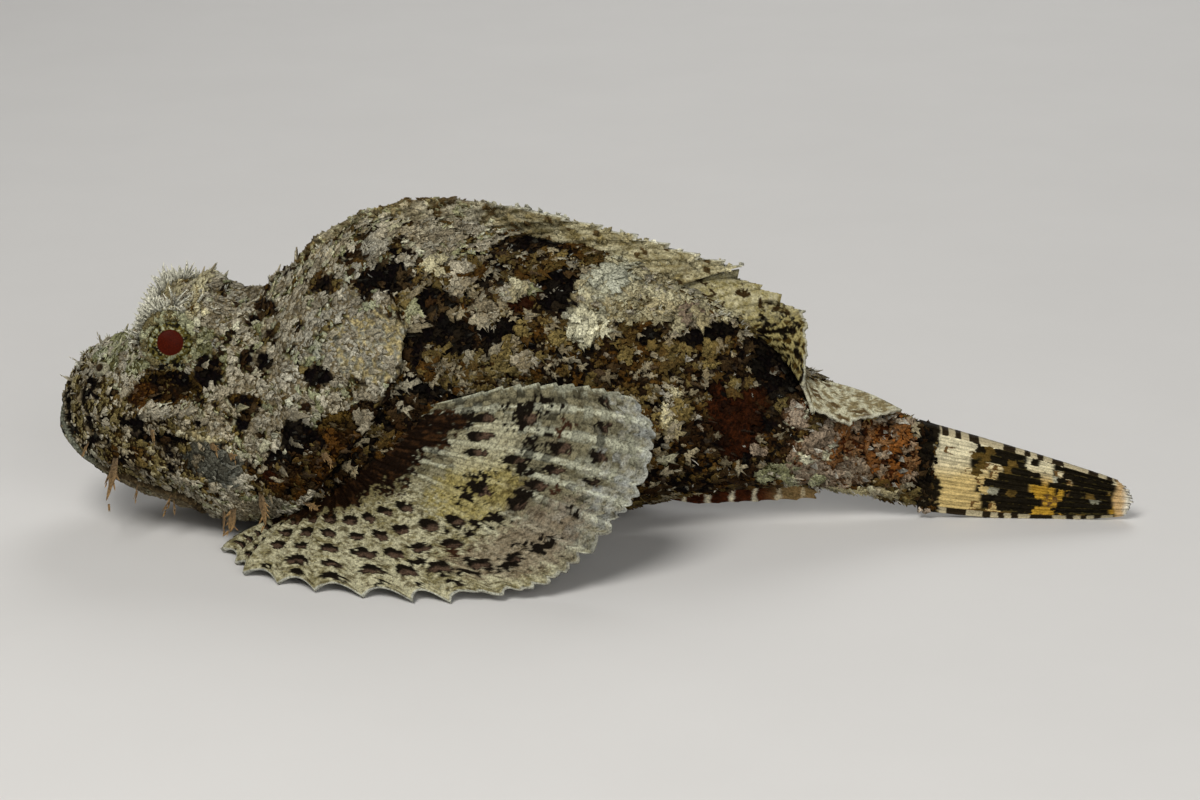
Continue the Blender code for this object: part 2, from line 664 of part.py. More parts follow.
def pectoral_fin(side, name, finish):
    """A fan of rays that props the fish: its lower rays lie on the floor, its upper ones rise back."""
    places = np.linspace(0, 1, len(PECTORAL_TIPS))
    roots, bow = through(PECTORAL_ROOTS, places), through(PECTORAL_BOW, places)
    middle = fin_columns(roots, PECTORAL_TIPS, bow, PECTORAL_ROWS, 0.07, PECTORAL_CROWD)
    along = np.linspace(0, 1, PECTORAL_ROWS) ** PECTORAL_CROWD
    thick = ray_thickness(middle, *PECTORAL_THICK, PECTORAL_CROWD)
    thick += PECTORAL_BASE_THICK * np.exp(-((along / PECTORAL_BASE_REACH) ** 2))
    middle[..., 1] *= -side
    fit_to_body(sheet(name, middle, thick, finish, on_floor=True))


# The left pelvic fin, from its spine to its innermost ray
PELVIC_ROOTS = ((0, -63, -16.5, 3.2), (1, -57, -11, 2.2))
PELVIC_TIPS = ((0, -45, -33, 0.6), (0.3, -33, -36, 0.6), (0.65, -24, -30, 0.6), (1, -22, -22, 0.6))
PELVIC_BOW = (0, -2.5, -0.4)
PELVIC_RAYS = 6
PELVIC_ROWS = 7
PELVIC_THICK = (2.2, 1.0, 0.8)


def pelvic_fin(side, name, finish):
    """A small fan of a spine and five rays, spread on the floor beside the belly."""
    places = np.linspace(0, 1, PELVIC_RAYS)
    roots, tips = through(PELVIC_ROOTS, places), through(PELVIC_TIPS, places)
    middle = fin_columns(roots, tips, PELVIC_BOW, PELVIC_ROWS, 0.1)
    thick = ray_thickness(middle, *PELVIC_THICK)
    middle[..., 1] *= -side
    fit_to_body(sheet(name, middle, thick, finish, on_floor=True))


# The spines of the back, laid back in their fold: (place of root, place of tip)
BACK_SPINES = (
    (-78, -70), (-71, -58), (-63.5, -46), (-56, -35), (-48, -25.5), (-39.5, -17),
    (-30.5, -8), (-21.5, 1), (-12.5, 9.5), (-4, 17.5), (4.5, 25.5), (13, 33.5),
)
BACK_FIN_SUNK = 2.5
BACK_FIN_BOW = (0, 0, 0.6)
BACK_FIN_ROWS = 6
BACK_FIN_NOTCH = 0.16
BACK_FIN_THICK = (2.1, 0.9, 0.9)
BACK_FIN_PLEAT = 0.45


def spiny_dorsal(name, finish):
    """The spiny fin of the back, folded down: panels of membrane between leaning spines."""
    root_x, tip_x = np.array(BACK_SPINES, float).T
    roots = np.stack([root_x - BACK_FIN_SUNK, 0 * root_x, back_at(root_x) - BACK_FIN_SUNK], axis=-1)
    tips = np.stack([tip_x, 0 * tip_x, fold_at(tip_x)], axis=-1)
    middle = fin_columns(roots, tips, BACK_FIN_BOW, BACK_FIN_ROWS, BACK_FIN_NOTCH)
    thick = ray_thickness(middle, *BACK_FIN_THICK)
    fit_to_body(sheet(name, middle, thick, finish, pleat=zigzag(middle, BACK_FIN_PLEAT)))


# The soft rays of the back: (root, tip, bow). The last ones flop over the left side of the stem
SOFT_RAYS = (
    ((19.5, 0, 59.0), (36.0, 0.0, 63.8), (0, 0, 0.5)),
    ((24.0, 0, 56.5), (40.5, 0.0, 61.2), (0, 0, 0.5)),
    ((28.5, 0, 54.0), (46.5, -0.3, 58.2), (0, 0, 0.5)),
    ((33.0, 0, 51.0), (51.5, -1.5, 54.8), (0, 0, 0.8)),
    ((37.0, 0, 48.5), (53.5, -4.5, 50.2), (0, 0, 1.4)),
    ((41.0, 0, 45.5), (54.2, -8.5, 44.2), (0, -0.8, 2.4)),
    ((45.0, 0, 42.0), (55.0, -11.5, 37.2), (0, -1.8, 3.2)),
    ((48.5, 0, 39.0), (58.5, -12.5, 31.0), (0, -2.2, 3.4)),
    ((51.5, 0, 37.0), (66.0, -11.5, 28.0), (0, -1.8, 3.2)),
    ((54.5, 0, 35.0), (74.5, -7.0, 29.6), (0, -0.8, 2.4)),
)
SOFT_ROWS = 8
SOFT_THICK = (1.7, 0.9, 0.8)


def soft_dorsal(name, finish):
    """The soft fin of the back: a low sail in front, flopped over the stem behind."""
    roots, tips, bow = (np.array([ray[k] for ray in SOFT_RAYS], float) for k in range(3))
    middle = fin_columns(roots, tips, bow, SOFT_ROWS, 0.08)
    fit_to_body(sheet(name, middle, ray_thickness(middle, *SOFT_THICK), finish))


ANAL_RAYS = 8
ANAL_ROOT_X = (9.0, 33.0)
ANAL_TIP_X = (25.0, 56.0)
ANAL_TIP_Z = (4.4, 4.9)
ANAL_SUNK = 3.0
ANAL_BOW = (0, 0, -1.0)
ANAL_ROWS = 6
ANAL_THICK = (2.4, 1.4, 1.0)
ANAL_PLEAT = 0.4


def anal_fin(name, finish):
    """The fin below the tail stem, folded back into a low keel of spines and rays."""
    root_x, tip_x, tip_z = (np.linspace(*ends, ANAL_RAYS) for ends in (ANAL_ROOT_X, ANAL_TIP_X, ANAL_TIP_Z))
    roots = np.stack([root_x, 0 * root_x, belly_at(root_x) + ANAL_SUNK], axis=-1)
    tips = np.stack([tip_x, 0 * tip_x, tip_z], axis=-1)
    middle = fin_columns(roots, tips, ANAL_BOW, ANAL_ROWS, 0.1)
    middle[..., 1] += tail_bend_at(middle[..., 0])
    thick = ray_thickness(middle, *ANAL_THICK)
    fit_to_body(sheet(name, middle, thick, finish, pleat=zigzag(middle, ANAL_PLEAT)))


CAUDAL_RAYS = 13
CAUDAL_ROOT_X = TAIL_BASE_X + GAP
CAUDAL_ROOT_Z = (2.4, 24.4)
CAUDAL_TIP_Z = (0.8, 8.0)
CAUDAL_TIP_CURVE = 2.4  # how far the outer rays' tips stand back from the longest one's
CAUDAL_BOW_Z = (-3.8, 2.2)
CAUDAL_ROWS = 9
CAUDAL_THICK = (3.0, 2.0, 1.6)
CAUDAL_BASE_THICK = 5.0
CAUDAL_PLEAT = 0.5


def caudal_fin(name, finish):
    """The tail fin, closed like a fan: rays side by side at the stem that run together at the tip."""
    places = np.linspace(0, 1, CAUDAL_RAYS)
    root_z = np.linspace(*CAUDAL_ROOT_Z, CAUDAL_RAYS)
    tip_z = np.linspace(*CAUDAL_TIP_Z, CAUDAL_RAYS)
    bow_z = np.linspace(*CAUDAL_BOW_Z, CAUDAL_RAYS)
    tip_x = TAIL_TIP_X - CAUDAL_TIP_CURVE * (2 * places - 0.8) ** 2
    roots = np.stack([0 * places + CAUDAL_ROOT_X, 0 * places, root_z], axis=-1)
    tips = np.stack([tip_x, 0 * places, tip_z], axis=-1)
    bow = np.stack([0 * places, 0 * places, bow_z], axis=-1)
    middle = fin_columns(roots, tips, bow, CAUDAL_ROWS, 0.03)
    middle[..., 1] += tail_bend_at(middle[..., 0])
    along = np.linspace(0, 1, CAUDAL_ROWS)
    thick = ray_thickness(middle, *CAUDAL_THICK) + CAUDAL_BASE_THICK * (1 - along) ** 4
    across = np.linspace(-1, 1, len(middle))
    thick *= 0.35 + 0.65 * np.sqrt(np.clip(1 - across**2, 0.12, 1))[:, None]
    pleat = np.zeros(middle.shape[:2])
    pleat[0::4] = CAUDAL_PLEAT * along
    pleat[1::2] = -CAUDAL_PLEAT * along
    sheet(name, middle, thick, finish, on_floor=True, pleat=pleat)


def build():
    for thing in list(bpy.data.objects):
        bpy.data.objects.remove(thing)
    skin = Skin()
    head_skin = material("head_skin", (0.42, 0.36, 0.27), 0.75)
    jaw_skin = material("jaw_skin", (0.40, 0.34, 0.22), 0.7)
    body_skin = material("body_skin", (0.36, 0.27, 0.17), 0.75)
    eye = material("eye", (0.22, 0.05, 0.02), 0.15)
    spotted_fin = material("spotted_fin", (0.55, 0.50, 0.34), 0.6)
    back_fin = material("back_fin", (0.60, 0.54, 0.38), 0.6)
    tail_fin = material("tail_fin", (0.62, 0.52, 0.30), 0.55)
    anal_skin = material("anal_fin", (0.32, 0.16, 0.08), 0.6)

    head = body_length("head", HEAD_STATIONS, head_skin)
    combine(head, [jaw_region(GAP / 2)], "DIFFERENCE")
    extras = on_both_sides(skin, HEAD_SPINES, spike) + on_both_sides(skin, HEAD_FLAPS, leaf)
    for place, radius, height in NOSTRILS:
        for side in (-1, 1):
            extras.append(nostril(*skin.at(place[0], side * place[1], place[2]), radius, height))
    combine(head, [*extras, lid(-1), lid(1)], "UNION")
    sockets = [ball("socket", side, EYE_RADIUS + GAP) for side in (-1, 1)]
    combine(head, [*sockets, eye_opening(-1), eye_opening(1)], "DIFFERENCE")
    ball("eye_left", -1, EYE_RADIUS, eye)
    ball("eye_right", 1, EYE_RADIUS, eye)

    jaw = body_length("lower_jaw", HEAD_STATIONS[:JAW_STATION_COUNT], jaw_skin, JAW_STANDS_PROUD)
    combine(jaw, [jaw_region(-GAP / 2)], "INTERSECT")
    combine(jaw, on_both_sides(skin, JAW_FLAPS, leaf), "UNION")

    torso = body_length("torso", TORSO_STATIONS, body_skin)
    combine(torso, scattered_flaps(skin, -52, 38, rows=8, per_row=4, seed=5), "UNION")
    stem = body_length("tail_stem", STEM_STATIONS, body_skin)
    combine(stem, scattered_flaps(skin, 50, 76, rows=3, per_row=3, seed=9), "UNION")

    for side, where in ((-1, "left"), (1, "right")):
        pectoral_fin(side, f"pectoral_fin_{where}", spotted_fin)
        pelvic_fin(side, f"pelvic_fin_{where}", spotted_fin)
    spiny_dorsal("dorsal_fin_spiny", back_fin)
    soft_dorsal("dorsal_fin_soft", back_fin)
    anal_fin("anal_fin", anal_skin)
    caudal_fin("caudal_fin", tail_fin)


build()
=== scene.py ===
import math
from itertools import product
from typing import NamedTuple

import bpy
import numpy as np
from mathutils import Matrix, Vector
from numpy.random import default_rng


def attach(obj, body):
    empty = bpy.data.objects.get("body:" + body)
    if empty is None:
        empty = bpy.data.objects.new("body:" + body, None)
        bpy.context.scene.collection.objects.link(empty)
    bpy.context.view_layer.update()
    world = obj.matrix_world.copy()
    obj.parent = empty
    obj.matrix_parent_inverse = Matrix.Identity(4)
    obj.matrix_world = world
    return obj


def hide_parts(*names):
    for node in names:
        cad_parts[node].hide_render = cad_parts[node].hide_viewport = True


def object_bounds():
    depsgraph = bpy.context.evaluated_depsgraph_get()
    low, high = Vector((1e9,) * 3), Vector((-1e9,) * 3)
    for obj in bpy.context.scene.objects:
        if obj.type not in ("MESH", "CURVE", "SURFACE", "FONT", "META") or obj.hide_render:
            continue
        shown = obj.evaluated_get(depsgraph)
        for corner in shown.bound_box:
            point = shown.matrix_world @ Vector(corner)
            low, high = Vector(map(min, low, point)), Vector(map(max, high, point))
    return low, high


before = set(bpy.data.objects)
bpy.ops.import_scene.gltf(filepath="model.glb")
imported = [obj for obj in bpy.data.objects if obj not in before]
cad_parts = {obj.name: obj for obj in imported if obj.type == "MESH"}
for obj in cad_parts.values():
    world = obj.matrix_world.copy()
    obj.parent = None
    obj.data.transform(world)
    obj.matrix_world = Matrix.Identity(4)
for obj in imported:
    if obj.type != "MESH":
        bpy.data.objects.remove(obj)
cad_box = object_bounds()
stage = bpy.context.scene

# All sizes are in millimetres. The fish lies along X, snout at -X, left side at -Y, belly on z = 0
MM = 0.001
TURN = 2 * math.pi
CAD_SPACE = np.array(cad_box) / MM + [[0.05], [-0.05]]  # lowest and highest corner the shape may reach
SNOUT_X, GILL_X, TAIL_BASE_X, TAIL_TIP_X = -134.0, -60.0, 82.0, 134.0
BACK_LINE = (
    (-134, 31), (-132.5, 37), (-130, 41), (-124, 45), (-117, 48.5), (-111, 54.5), (-104, 57.5), (-96, 57.5),
    (-89, 58.5), (-84, 63.5), (-76, 69.5), (-64, 75), (-50, 78), (-38, 78), (-25, 76), (-12, 73), (0, 69.5),
    (12, 65), (25, 58.5), (38, 50.5), (50, 40.5), (62, 33), (74, 28), (82, 25.5),
)
BELLY_LINE = (
    (-134, 25.5), (-132.5, 22), (-129, 17.6), (-121, 12.2), (-113, 8), (-105, 4.8), (-96, 2.4), (-84, 0.8),
    (-72, -0.6), (-20, -0.8), (-4, 0.6), (12, 4), (30, 6.6), (52, 7.6), (64, 6), (74, 3.6), (82, 2),
)
HALF_WIDTH = (
    (-134, 5), (-132.5, 9), (-129, 13), (-122, 17.5), (-113, 20.5), (-104, 22.5), (-95, 25.5), (-84, 29),
    (-72, 31), (-60, 31), (-48, 29.5), (-30, 27), (-10, 23.5), (10, 19.5), (30, 15), (48, 10.8), (62, 7.8),
    (74, 5.8), (82, 4.8),
)
WIDEST_LINE = (
    (-134, 27.5), (-122, 27), (-104, 28), (-84, 30), (-60, 33), (-30, 33), (0, 31), (25, 28), (48, 22),
    (62, 18.5), (82, 13.5),
)
FOLD_LINE = (
    (-80, 71.5), (-67, 77), (-56, 80.5), (-44, 82.8), (-34, 82.4), (-25, 81.2), (-12.5, 79), (0, 75.8),
    (12.5, 72.5), (25, 68.3), (35, 65.6),
)
UPPER_FULLNESS = ((-134, 2.3), (-115, 2.15), (-98, 2.15), (-84, 1.9), (-20, 1.8), (82, 2.0))
LOWER_FULLNESS = ((-134, 2.3), (-110, 2.3), (-80, 2.6), (-40, 2.8), (0, 2.5), (30, 2.1), (82, 2.0))
GILL_BULGE_Z, GILL_REACH, GILL_TOP_DROP, GILL_THROAT_DROP, NAPE_Z = 52.0, 12.0, 12.0, 36.0, 76.0
LEAN_FROM_X, LEAN_TO_X = -112.0, -14.0
GILL_STEP, GILL_STEP_RUN = 2.6, 7.0
TAIL_BEND_FROM_X, TAIL_BEND = 30.0, 4.0
SWELLINGS = (
    ((-107, 12.5, 56), (9.5, 6.5, 5.5), 6.4),  # brow
    ((-107, 0, 58), (13, 5, 9), -5.4),  # trough between the eyes
    ((-89.5, 0, 60), (5.5, 9, 8), -2.8),  # pit behind the eyes
    ((-106, 20, 40), (8, 8, 3.5), -1.8),  # hollow under the eye
    ((-122, 0, 46), (6, 4, 6), 1.4),  # tip of the snout
    ((-60, 30, 50), (13, 8, 11), 1.4),  # gill cover
    ((-92, 26, 24), (12, 8, 9), 1),  # cheek
)
RIDGES = (
    ((-123, 32), (-85, 37.5), 2, 1.6),  # bony stay below the eye
    ((-125, 24.5), (-101, 17.5), 3.6, 1.3),  # upper jawbone
    ((-77, 45), (-73, 31), 2.4, 1.5),  # edge of the cheek
    ((-73, 31), (-79, 17), 2.4, 1.5),
    ((-97, 56), (-84, 62), 4, 4.4),  # crest beside the nape
)
MOUTH_LINE = (
    (-133.8, 31), (-131.2, 25.5), (-127.5, 20.6), (-119, 17), (-110, 13.4), (-100, 10.6), (-97, 5),
)
EYE_MIDDLE, EYE_RADIUS, EYE_WAY = (-105.0, 11.8, 49.8), 7.4, (0.1, 1.0, 0.2)
COAT_DEPTH = 0.55  # how far the skin lies inside the solids, so that the flakes on it reach their surface
SIDES = (-1, 1)


def smooth_curve(points):
    """A curve through (place, value) points: cubic between them, with slopes that never overshoot."""
    place, value = np.array(points, float).T
    step = np.diff(place)
    rise = np.diff(value) / step
    slope = np.zeros_like(value)
    slope[0], slope[-1] = rise[0], rise[-1]
    both = rise[:-1] + rise[1:]
    turns = rise[:-1] * rise[1:] <= 0
    slope[1:-1] = np.where(turns, 0, 2 * rise[:-1] * rise[1:] / np.where(turns, 1, both))

    def value_at(x):
        """The cubic with the values and slopes at both ends of the stretch that holds x."""
        x = np.clip(x, place[0], place[-1])
        i = np.clip(np.searchsorted(place, x, side="right") - 1, 0, len(step) - 1)
        t = (x - place[i]) / step[i]
        start = value[i] * (1 + 2 * t) + slope[i] * step[i] * t
        end = value[i + 1] * (3 - 2 * t) - slope[i + 1] * step[i] * (1 - t)
        return start * (1 - t) ** 2 + end * t * t

    return value_at


back_at, belly_at = smooth_curve(BACK_LINE), smooth_curve(BELLY_LINE)
half_width_at, widest_at = smooth_curve(HALF_WIDTH), smooth_curve(WIDEST_LINE)
upper_fullness_at, lower_fullness_at = smooth_curve(UPPER_FULLNESS), smooth_curve(LOWER_FULLNESS)
fold_at = smooth_curve(FOLD_LINE)


def ramp(low, high, x):
    """0 up to low, 1 from high, and three squares less two cubes of the share between them."""
    t = np.clip((x - low) / (high - low), 0, 1)
    return t * t * (3 - 2 * t)


def together(*parts):
    """Arrays and numbers, spread to one shape, as the last axis of one array."""
    return np.stack(np.broadcast_arrays(*parts), axis=-1)


def unit(v):
    """Vectors divided by their lengths."""
    v = np.asarray(v, float)
    return v / np.maximum(np.linalg.norm(v, axis=-1, keepdims=True), 1e-9)


def lean_at(station):
    """How far a cross-section leans back with the gill cover: fully at the gills, not at all far off."""
    return ramp(LEAN_FROM_X, GILL_X, station) * (1 - ramp(GILL_X, LEAN_TO_X, station))


def gill_edge(height):
    """How far behind GILL_X the gill edge lies: most at the bulge, less with the square above it
    and with the power 1.4 below it."""
    above = np.clip(height - GILL_BULGE_Z, 0, None) / (NAPE_Z - GILL_BULGE_Z)
    below = np.clip(GILL_BULGE_Z - height, 0, None) / GILL_BULGE_Z
    return GILL_REACH - GILL_TOP_DROP * above**2 - GILL_THROAT_DROP * below**1.4


def tail_bend_at(x):
    """How far the tail bends to its left, as the square of the way along it."""
    return -TAIL_BEND * np.clip((x - TAIL_BEND_FROM_X) / (TAIL_TIP_X - TAIL_BEND_FROM_X), 0, None) ** 2


def gill_window(z):
    """1 at the heights where the gill cover stands over the shoulder, 0 at the nape and throat."""
    return ramp(6, 16, z) * (1 - ramp(60, 72, z))


def gill_step(station):
    """The step down behind the gill cover, which fades as a power of e."""
    behind = np.exp(-np.clip(station - GILL_X, 0, None) / GILL_STEP_RUN)
    return -GILL_STEP * behind * (station > GILL_X)


def relief(x, y, z):
    """Height of the head's swellings, bell-shaped about a point, and ridges, bell-shaped about a line."""
    height, side = np.zeros_like(x), np.abs(y)
    for centre, spread, rise in SWELLINGS:
        height += rise * np.exp(-sum(((p - c) / s) ** 2 for p, c, s in zip((x, side, z), centre, spread)))
    for start, end, radius, rise in RIDGES:
        run = np.subtract(end, start)
        along = np.clip(((x - start[0]) * run[0] + (z - start[1]) * run[1]) / (run @ run), 0, 1)
        away = np.hypot(x - start[0] - along * run[0], z - start[1] - along * run[1])
        height += rise * np.exp(-((away / radius) ** 2)) * ramp(4, 7, side)
    return height


def body_points(station, angle, grow=0.0, step=None):
    """Points of the body at stations along it and angles round it, 0 on the back and pi below.

    Each cross-section is two half superellipses that meet at the widest line, pushed out along
    their normals by the relief, by grow and by the step behind the gill cover.
    """
    station, angle = np.broadcast_arrays(np.asarray(station, float), np.asarray(angle, float))
    step = gill_step(station) if step is None else step
    lean, middle = lean_at(station), widest_at(station)
    top = back_at(station + lean * gill_edge(NAPE_Z))
    bottom = belly_at(station + lean * gill_edge(0.0))
    width = half_width_at(station + lean * gill_edge(middle))
    upper = np.cos(angle) > 0
    power = 2 / np.where(upper, upper_fullness_at(station), lower_fullness_at(station))
    half_height = np.where(upper, top - middle, middle - bottom)
    y = width * np.sign(np.sin(angle)) * np.abs(np.sin(angle)) ** power
    z = middle + half_height * np.sign(np.cos(angle)) * np.abs(np.cos(angle)) ** power
    out_y, out_z = y / width**2, (z - middle) / half_height**2
    length = np.hypot(out_y, out_z)
    push = grow + relief(station + lean * gill_edge(z), y, z) + step * gill_window(z)
    y = y + push * out_y / length
    z = np.maximum(z + push * out_z / length, 0.2)
    x = station + lean * gill_edge(z)
    return together(x, y + tail_bend_at(x), z)


# Noise
ASKEW = np.array(((0.36, 0.48, -0.8), (-0.8, 0.6, 0.0), (0.48, 0.64, 0.6)))  # a turn about no main axis


def chance(cells, seed):
    """A number from 0 to 1 for each cell: the broken-off part of a large sine of its indices."""
    mixed = cells @ np.array([127.1, 311.7, 74.7]) + seed * 53.37
    return np.modf(np.abs(np.sin(mixed)) * 43758.5453)[0]


def soft_noise(points, size, seed=0):
    """Noise from -1 to 1: random numbers at the corners of cubes that stand askew, blended by
    smooth steps."""
    place = points @ ASKEW / size
    low = np.floor(place)
    t = place - low
    t = t * t * (3 - 2 * t)
    total = np.zeros(points.shape[:-1])
    for corner in product((0, 1), repeat=3):
        total += np.prod(np.where(corner, t, 1 - t), axis=-1) * chance(low + corner, seed)
    return 2 * total - 1


def two_noises(points, size, share, finer, seed):
    """Soft noise and a share of finer noise."""
    return soft_noise(points, size, seed) + share * soft_noise(points, finer, seed + 1)


def pebbles(points, size, seed=0):
    """For scattered centres, one in each cube: the distance to the nearest, how much further the
    next one is, and a random number of the nearest, all in units of size."""
    place = points / size
    low = np.floor(place)
    first = np.full(points.shape[:-1], 9.0)
    second, tag = first.copy(), np.zeros_like(first)
    for step in product((-1, 0, 1), repeat=3):
        cell = low + step
        centre = cell + np.stack([chance(cell, seed + k) for k in (1, 2, 3)], axis=-1)
        away = np.linalg.norm(centre - place, axis=-1)
        nearer = away < first
        second = np.where(nearer, first, np.minimum(second, away))
        tag = np.where(nearer, chance(cell, seed + 9), tag)
        first = np.where(nearer, away, first)
    return first, second - first, tag


# Kinds of skin: their flakes' two colours, the ground between flakes, how far they stand proud,
# and how densely their flakes stand
KINDS = {
    "ash": ((0.36, 0.33, 0.245), (0.21, 0.18, 0.12), (0.11, 0.088, 0.05), 0, 1),
    "cream": ((0.42, 0.385, 0.24), (0.28, 0.24, 0.135), (0.17, 0.14, 0.07), 0.1, 0.8),
    "white": ((0.44, 0.43, 0.31), (0.34, 0.325, 0.22), (0.25, 0.235, 0.155), 0.35, 0.5),
    "tan": ((0.165, 0.125, 0.044), (0.065, 0.038, 0.01), (0.012, 0.006, 0.002), 0, 0.9),
    "dun": ((0.26, 0.225, 0.145), (0.15, 0.12, 0.068), (0.02, 0.012, 0.005), 0, 0.8),
    "rust": ((0.06, 0.028, 0.005), (0.1, 0.072, 0.023), (0.009, 0.004, 0.001), -0.1, 0.9),
    "russet": ((0.165, 0.06, 0.012), (0.17, 0.095, 0.042), (0.035, 0.01, 0.002), 0, 0.8),
    "orange": ((0.022, 0.006, 0.001), (0.012, 0.004, 0.001), (0.02, 0.005, 0.001), 0, 0.35),
    "umber": ((0.022, 0.01, 0.003), (0.04, 0.025, 0.01), (0.004, 0.002, 0.001), -0.2, 0.75),
    "black": ((0.004, 0.003, 0.002), (0.012, 0.008, 0.004), (0.002, 0.001, 0.001), -0.6, 0.45),
    "olive": ((0.23, 0.19, 0.085), (0.1, 0.075, 0.025), (0.016, 0.01, 0.003), 0, 1),
    "ember": ((0.08, 0.034, 0.006), (0.03, 0.014, 0.003), (0.014, 0.005, 0.001), -0.2, 0.8),
    "ochre": ((0.07, 0.042, 0.009), (0.028, 0.016, 0.004), (0.008, 0.004, 0.001), -0.3, 0.9),
    "slate": ((0.125, 0.125, 0.1), (0.06, 0.058, 0.042), (0.048, 0.046, 0.034), 0, 0.4),
    "sage": ((0.33, 0.33, 0.2), (0.17, 0.17, 0.085), (0.06, 0.055, 0.02), 0, 1),
    "lilac": ((0.275, 0.215, 0.15), (0.16, 0.115, 0.073), (0.075, 0.042, 0.02), 0, 0.8),
    "plate": ((0.3, 0.265, 0.17), (0.2, 0.19, 0.145), (0.17, 0.165, 0.125), 0, 0.2),
    "belly": ((0.32, 0.26, 0.19), (0.24, 0.18, 0.12), (0.16, 0.12, 0.08), 0, 0.4),
}
KIND_NAMES = tuple(KINDS)
KIND_COLOURS = np.array([kind[:3] for kind in KINDS.values()])
KIND_RISE, KIND_COVER = (np.array([kind[k] for kind in KINDS.values()]) for k in (3, 4))
# The share of a kind's skin that small spots of another kind take
SPOTS = (
    ("ash", "umber", 0.1), ("ash", "tan", 0.06), ("ash", "sage", 0.08), ("ash", "white", 0.06),
    ("ash", "ochre", 0.05), ("cream", "ash", 0.22), ("cream", "rust", 0.08), ("tan", "rust", 0.26),
    ("tan", "dun", 0.24), ("tan", "black", 0.18), ("rust", "black", 0.28), ("rust", "dun", 0.18),
    ("rust", "ochre", 0.12), ("umber", "black", 0.34), ("umber", "rust", 0.16), ("umber", "dun", 0.06),
    ("black", "umber", 0.14), ("olive", "black", 0.26), ("olive", "ash", 0.24), ("olive", "ochre", 0.14),
    ("ochre", "black", 0.22), ("sage", "ash", 0.25), ("sage", "black", 0.08), ("lilac", "white", 0.1),
    ("lilac", "russet", 0.16), ("russet", "lilac", 0.2), ("russet", "black", 0.18), ("plate", "ash", 0.2),
    ("orange", "black", 0.1), ("white", "cream", 0.2), ("slate", "ash", 0.15), ("slate", "umber", 0.1),
    ("ember", "black", 0.2), ("ember", "rust", 0.2),
)
# Markings of each side, two of them painted shade, painted one over another: kind, place in side view, half
# length, half height
PATCHES = (
    ("olive", -123.5, 31, 10.5, 12.5), ("olive", -110, 24.5, 17, 10), ("sage", -118.5, 45, 6.5, 4),
    ("cream", -105, 59, 8, 3), ("sage", -97, 50, 4, 4), ("ochre", -104.6, 40.6, 7.5, 3.4),
    ("black", -94.9, 44.6, 3.2, 3.2), ("black", -102, 41.8, 2.2, 1.6), ("black", -86, 47.5, 1.6, 1.5),
    ("black", -81.5, 47.5, 1.7, 1.5), ("black", -67.6, 45.6, 3.2, 2), ("umber", -81.3, 58, 3.4, 1.8),
    ("black", -85.7, 36, 1.3, 1.9), ("black", -83, 38, 1.3, 1.4), ("black", -86.8, 33.4, 1.4, 1.8),
    ("black", -73, 31, 4.2, 3.6), ("black", -106.5, 27.7, 6, 1.2), ("slate", -94, 23.5, 7.4, 6.2),
    ("umber", -77, 21, 9, 8), ("umber", -59, 24, 17, 12), ("umber", -49, 33, 13, 8.5),
    ("ember", -75.5, 16.5, 4, 4), ("ember", -69.5, 23, 4.4, 4.4), ("ember", -63, 30, 4.4, 5),
    ("rust", -54, 31, 5, 5), ("plate", -55.2, 52.5, 9.4, 8.2), ("rust", -66.6, 64.7, 4, 2),
    ("ochre", -62, 35, 7, 2.4), ("black", -57, 64.4, 2, 3), ("black", -50.7, 67.4, 4.6, 3),
    ("umber", -59, 71, 4, 1.7), ("umber", -49.6, 72.8, 2.6, 1.3), ("sage", -44.5, 59.6, 2.6, 2.2),
    ("orange", -79.8, 21, 1.8, 1.5), ("ochre", -86, 39.1, 4.6, 1.2), ("cream", -96.5, 29.2, 7, 1.1),
    ("ember", -109, 37.5, 7, 2.6), ("ash", -103, 34.8, 8.5, 1.3), ("rust", -116, 22, 6, 3),
    ("ash", -36.6, 74.6, 13, 4.2), ("rust", -22, 66.7, 19, 4.8), ("black", -11.3, 72.6, 12, 1.6),
    ("black", -31.6, 53.7, 9.6, 4.6), ("black", -40, 61.7, 4.2, 2.8), ("black", -8.5, 62.4, 6.2, 3.8),
    ("ash", -20.6, 63.4, 4.8, 2.4), ("ash", -27.7, 59.1, 3.6, 2.4), ("orange", -19.5, 60.8, 3.4, 2),
    # Painted shade: the black patch at (-44.7, 51.4) is the shade in the groove behind the gill cover, and
    # the one at (-42.2, 42.9) is the shadow in the gap between the pectoral fin and the body.
    ("black", -44.7, 51.4, 2.2, 3.6), ("black", -42.2, 42.9, 4.2, 4), ("tan", -24.4, 45.9, 17, 5),
    ("umber", 0.4, 44.1, 6.6, 3.4), ("rust", -6.4, 47.9, 6.8, 3), ("cream", 14.6, 61, 21, 8),
    ("rust", 8.7, 50.2, 8.6, 4.4), ("cream", 25, 53.5, 9, 5.5), ("tan", 20, 44, 12, 6),
    ("white", 1.7, 64, 6.6, 4.2), ("white", -4.2, 54.9, 5.6, 4.6), ("umber", 38.4, 32, 14.4, 18),
    ("black", 43.7, 42.4, 6.4, 7), ("black", 27.3, 50.3, 6.2, 2), ("orange", 32.9, 28.9, 7, 9.6),
    ("orange", 37.5, 35.1, 3.4, 2.2), ("tan", 32.9, 38, 2.4, 2), ("umber", 22, 23.2, 7.6, 8.4),
    ("umber", 30, 13.5, 26, 5.5), ("cream", 17.4, 31, 2.6, 6.6), ("ash", 17, 19, 2.2, 3),
    ("sage", 48, 13.6, 8.8, 4.2), ("lilac", 55.4, 18.2, 9, 9), ("lilac", 48.6, 29.3, 3.6, 3.8),
    ("russet", 66.5, 22.6, 8, 8.4), ("lilac", 61.5, 14.5, 6, 4.6), ("russet", 74, 19.5, 6.5, 8.6),
    ("black", 81.4, 19.9, 2, 12), ("tan", 70, 29.5, 9, 2.2), ("cream", 56, 7.2, 22, 1.6),
)
RAGGED = 0.55  # how much noise eats into the edges of the markings


def kind_number(name):
    """Where a kind stands among the kinds."""
    return KIND_NAMES.index(name)


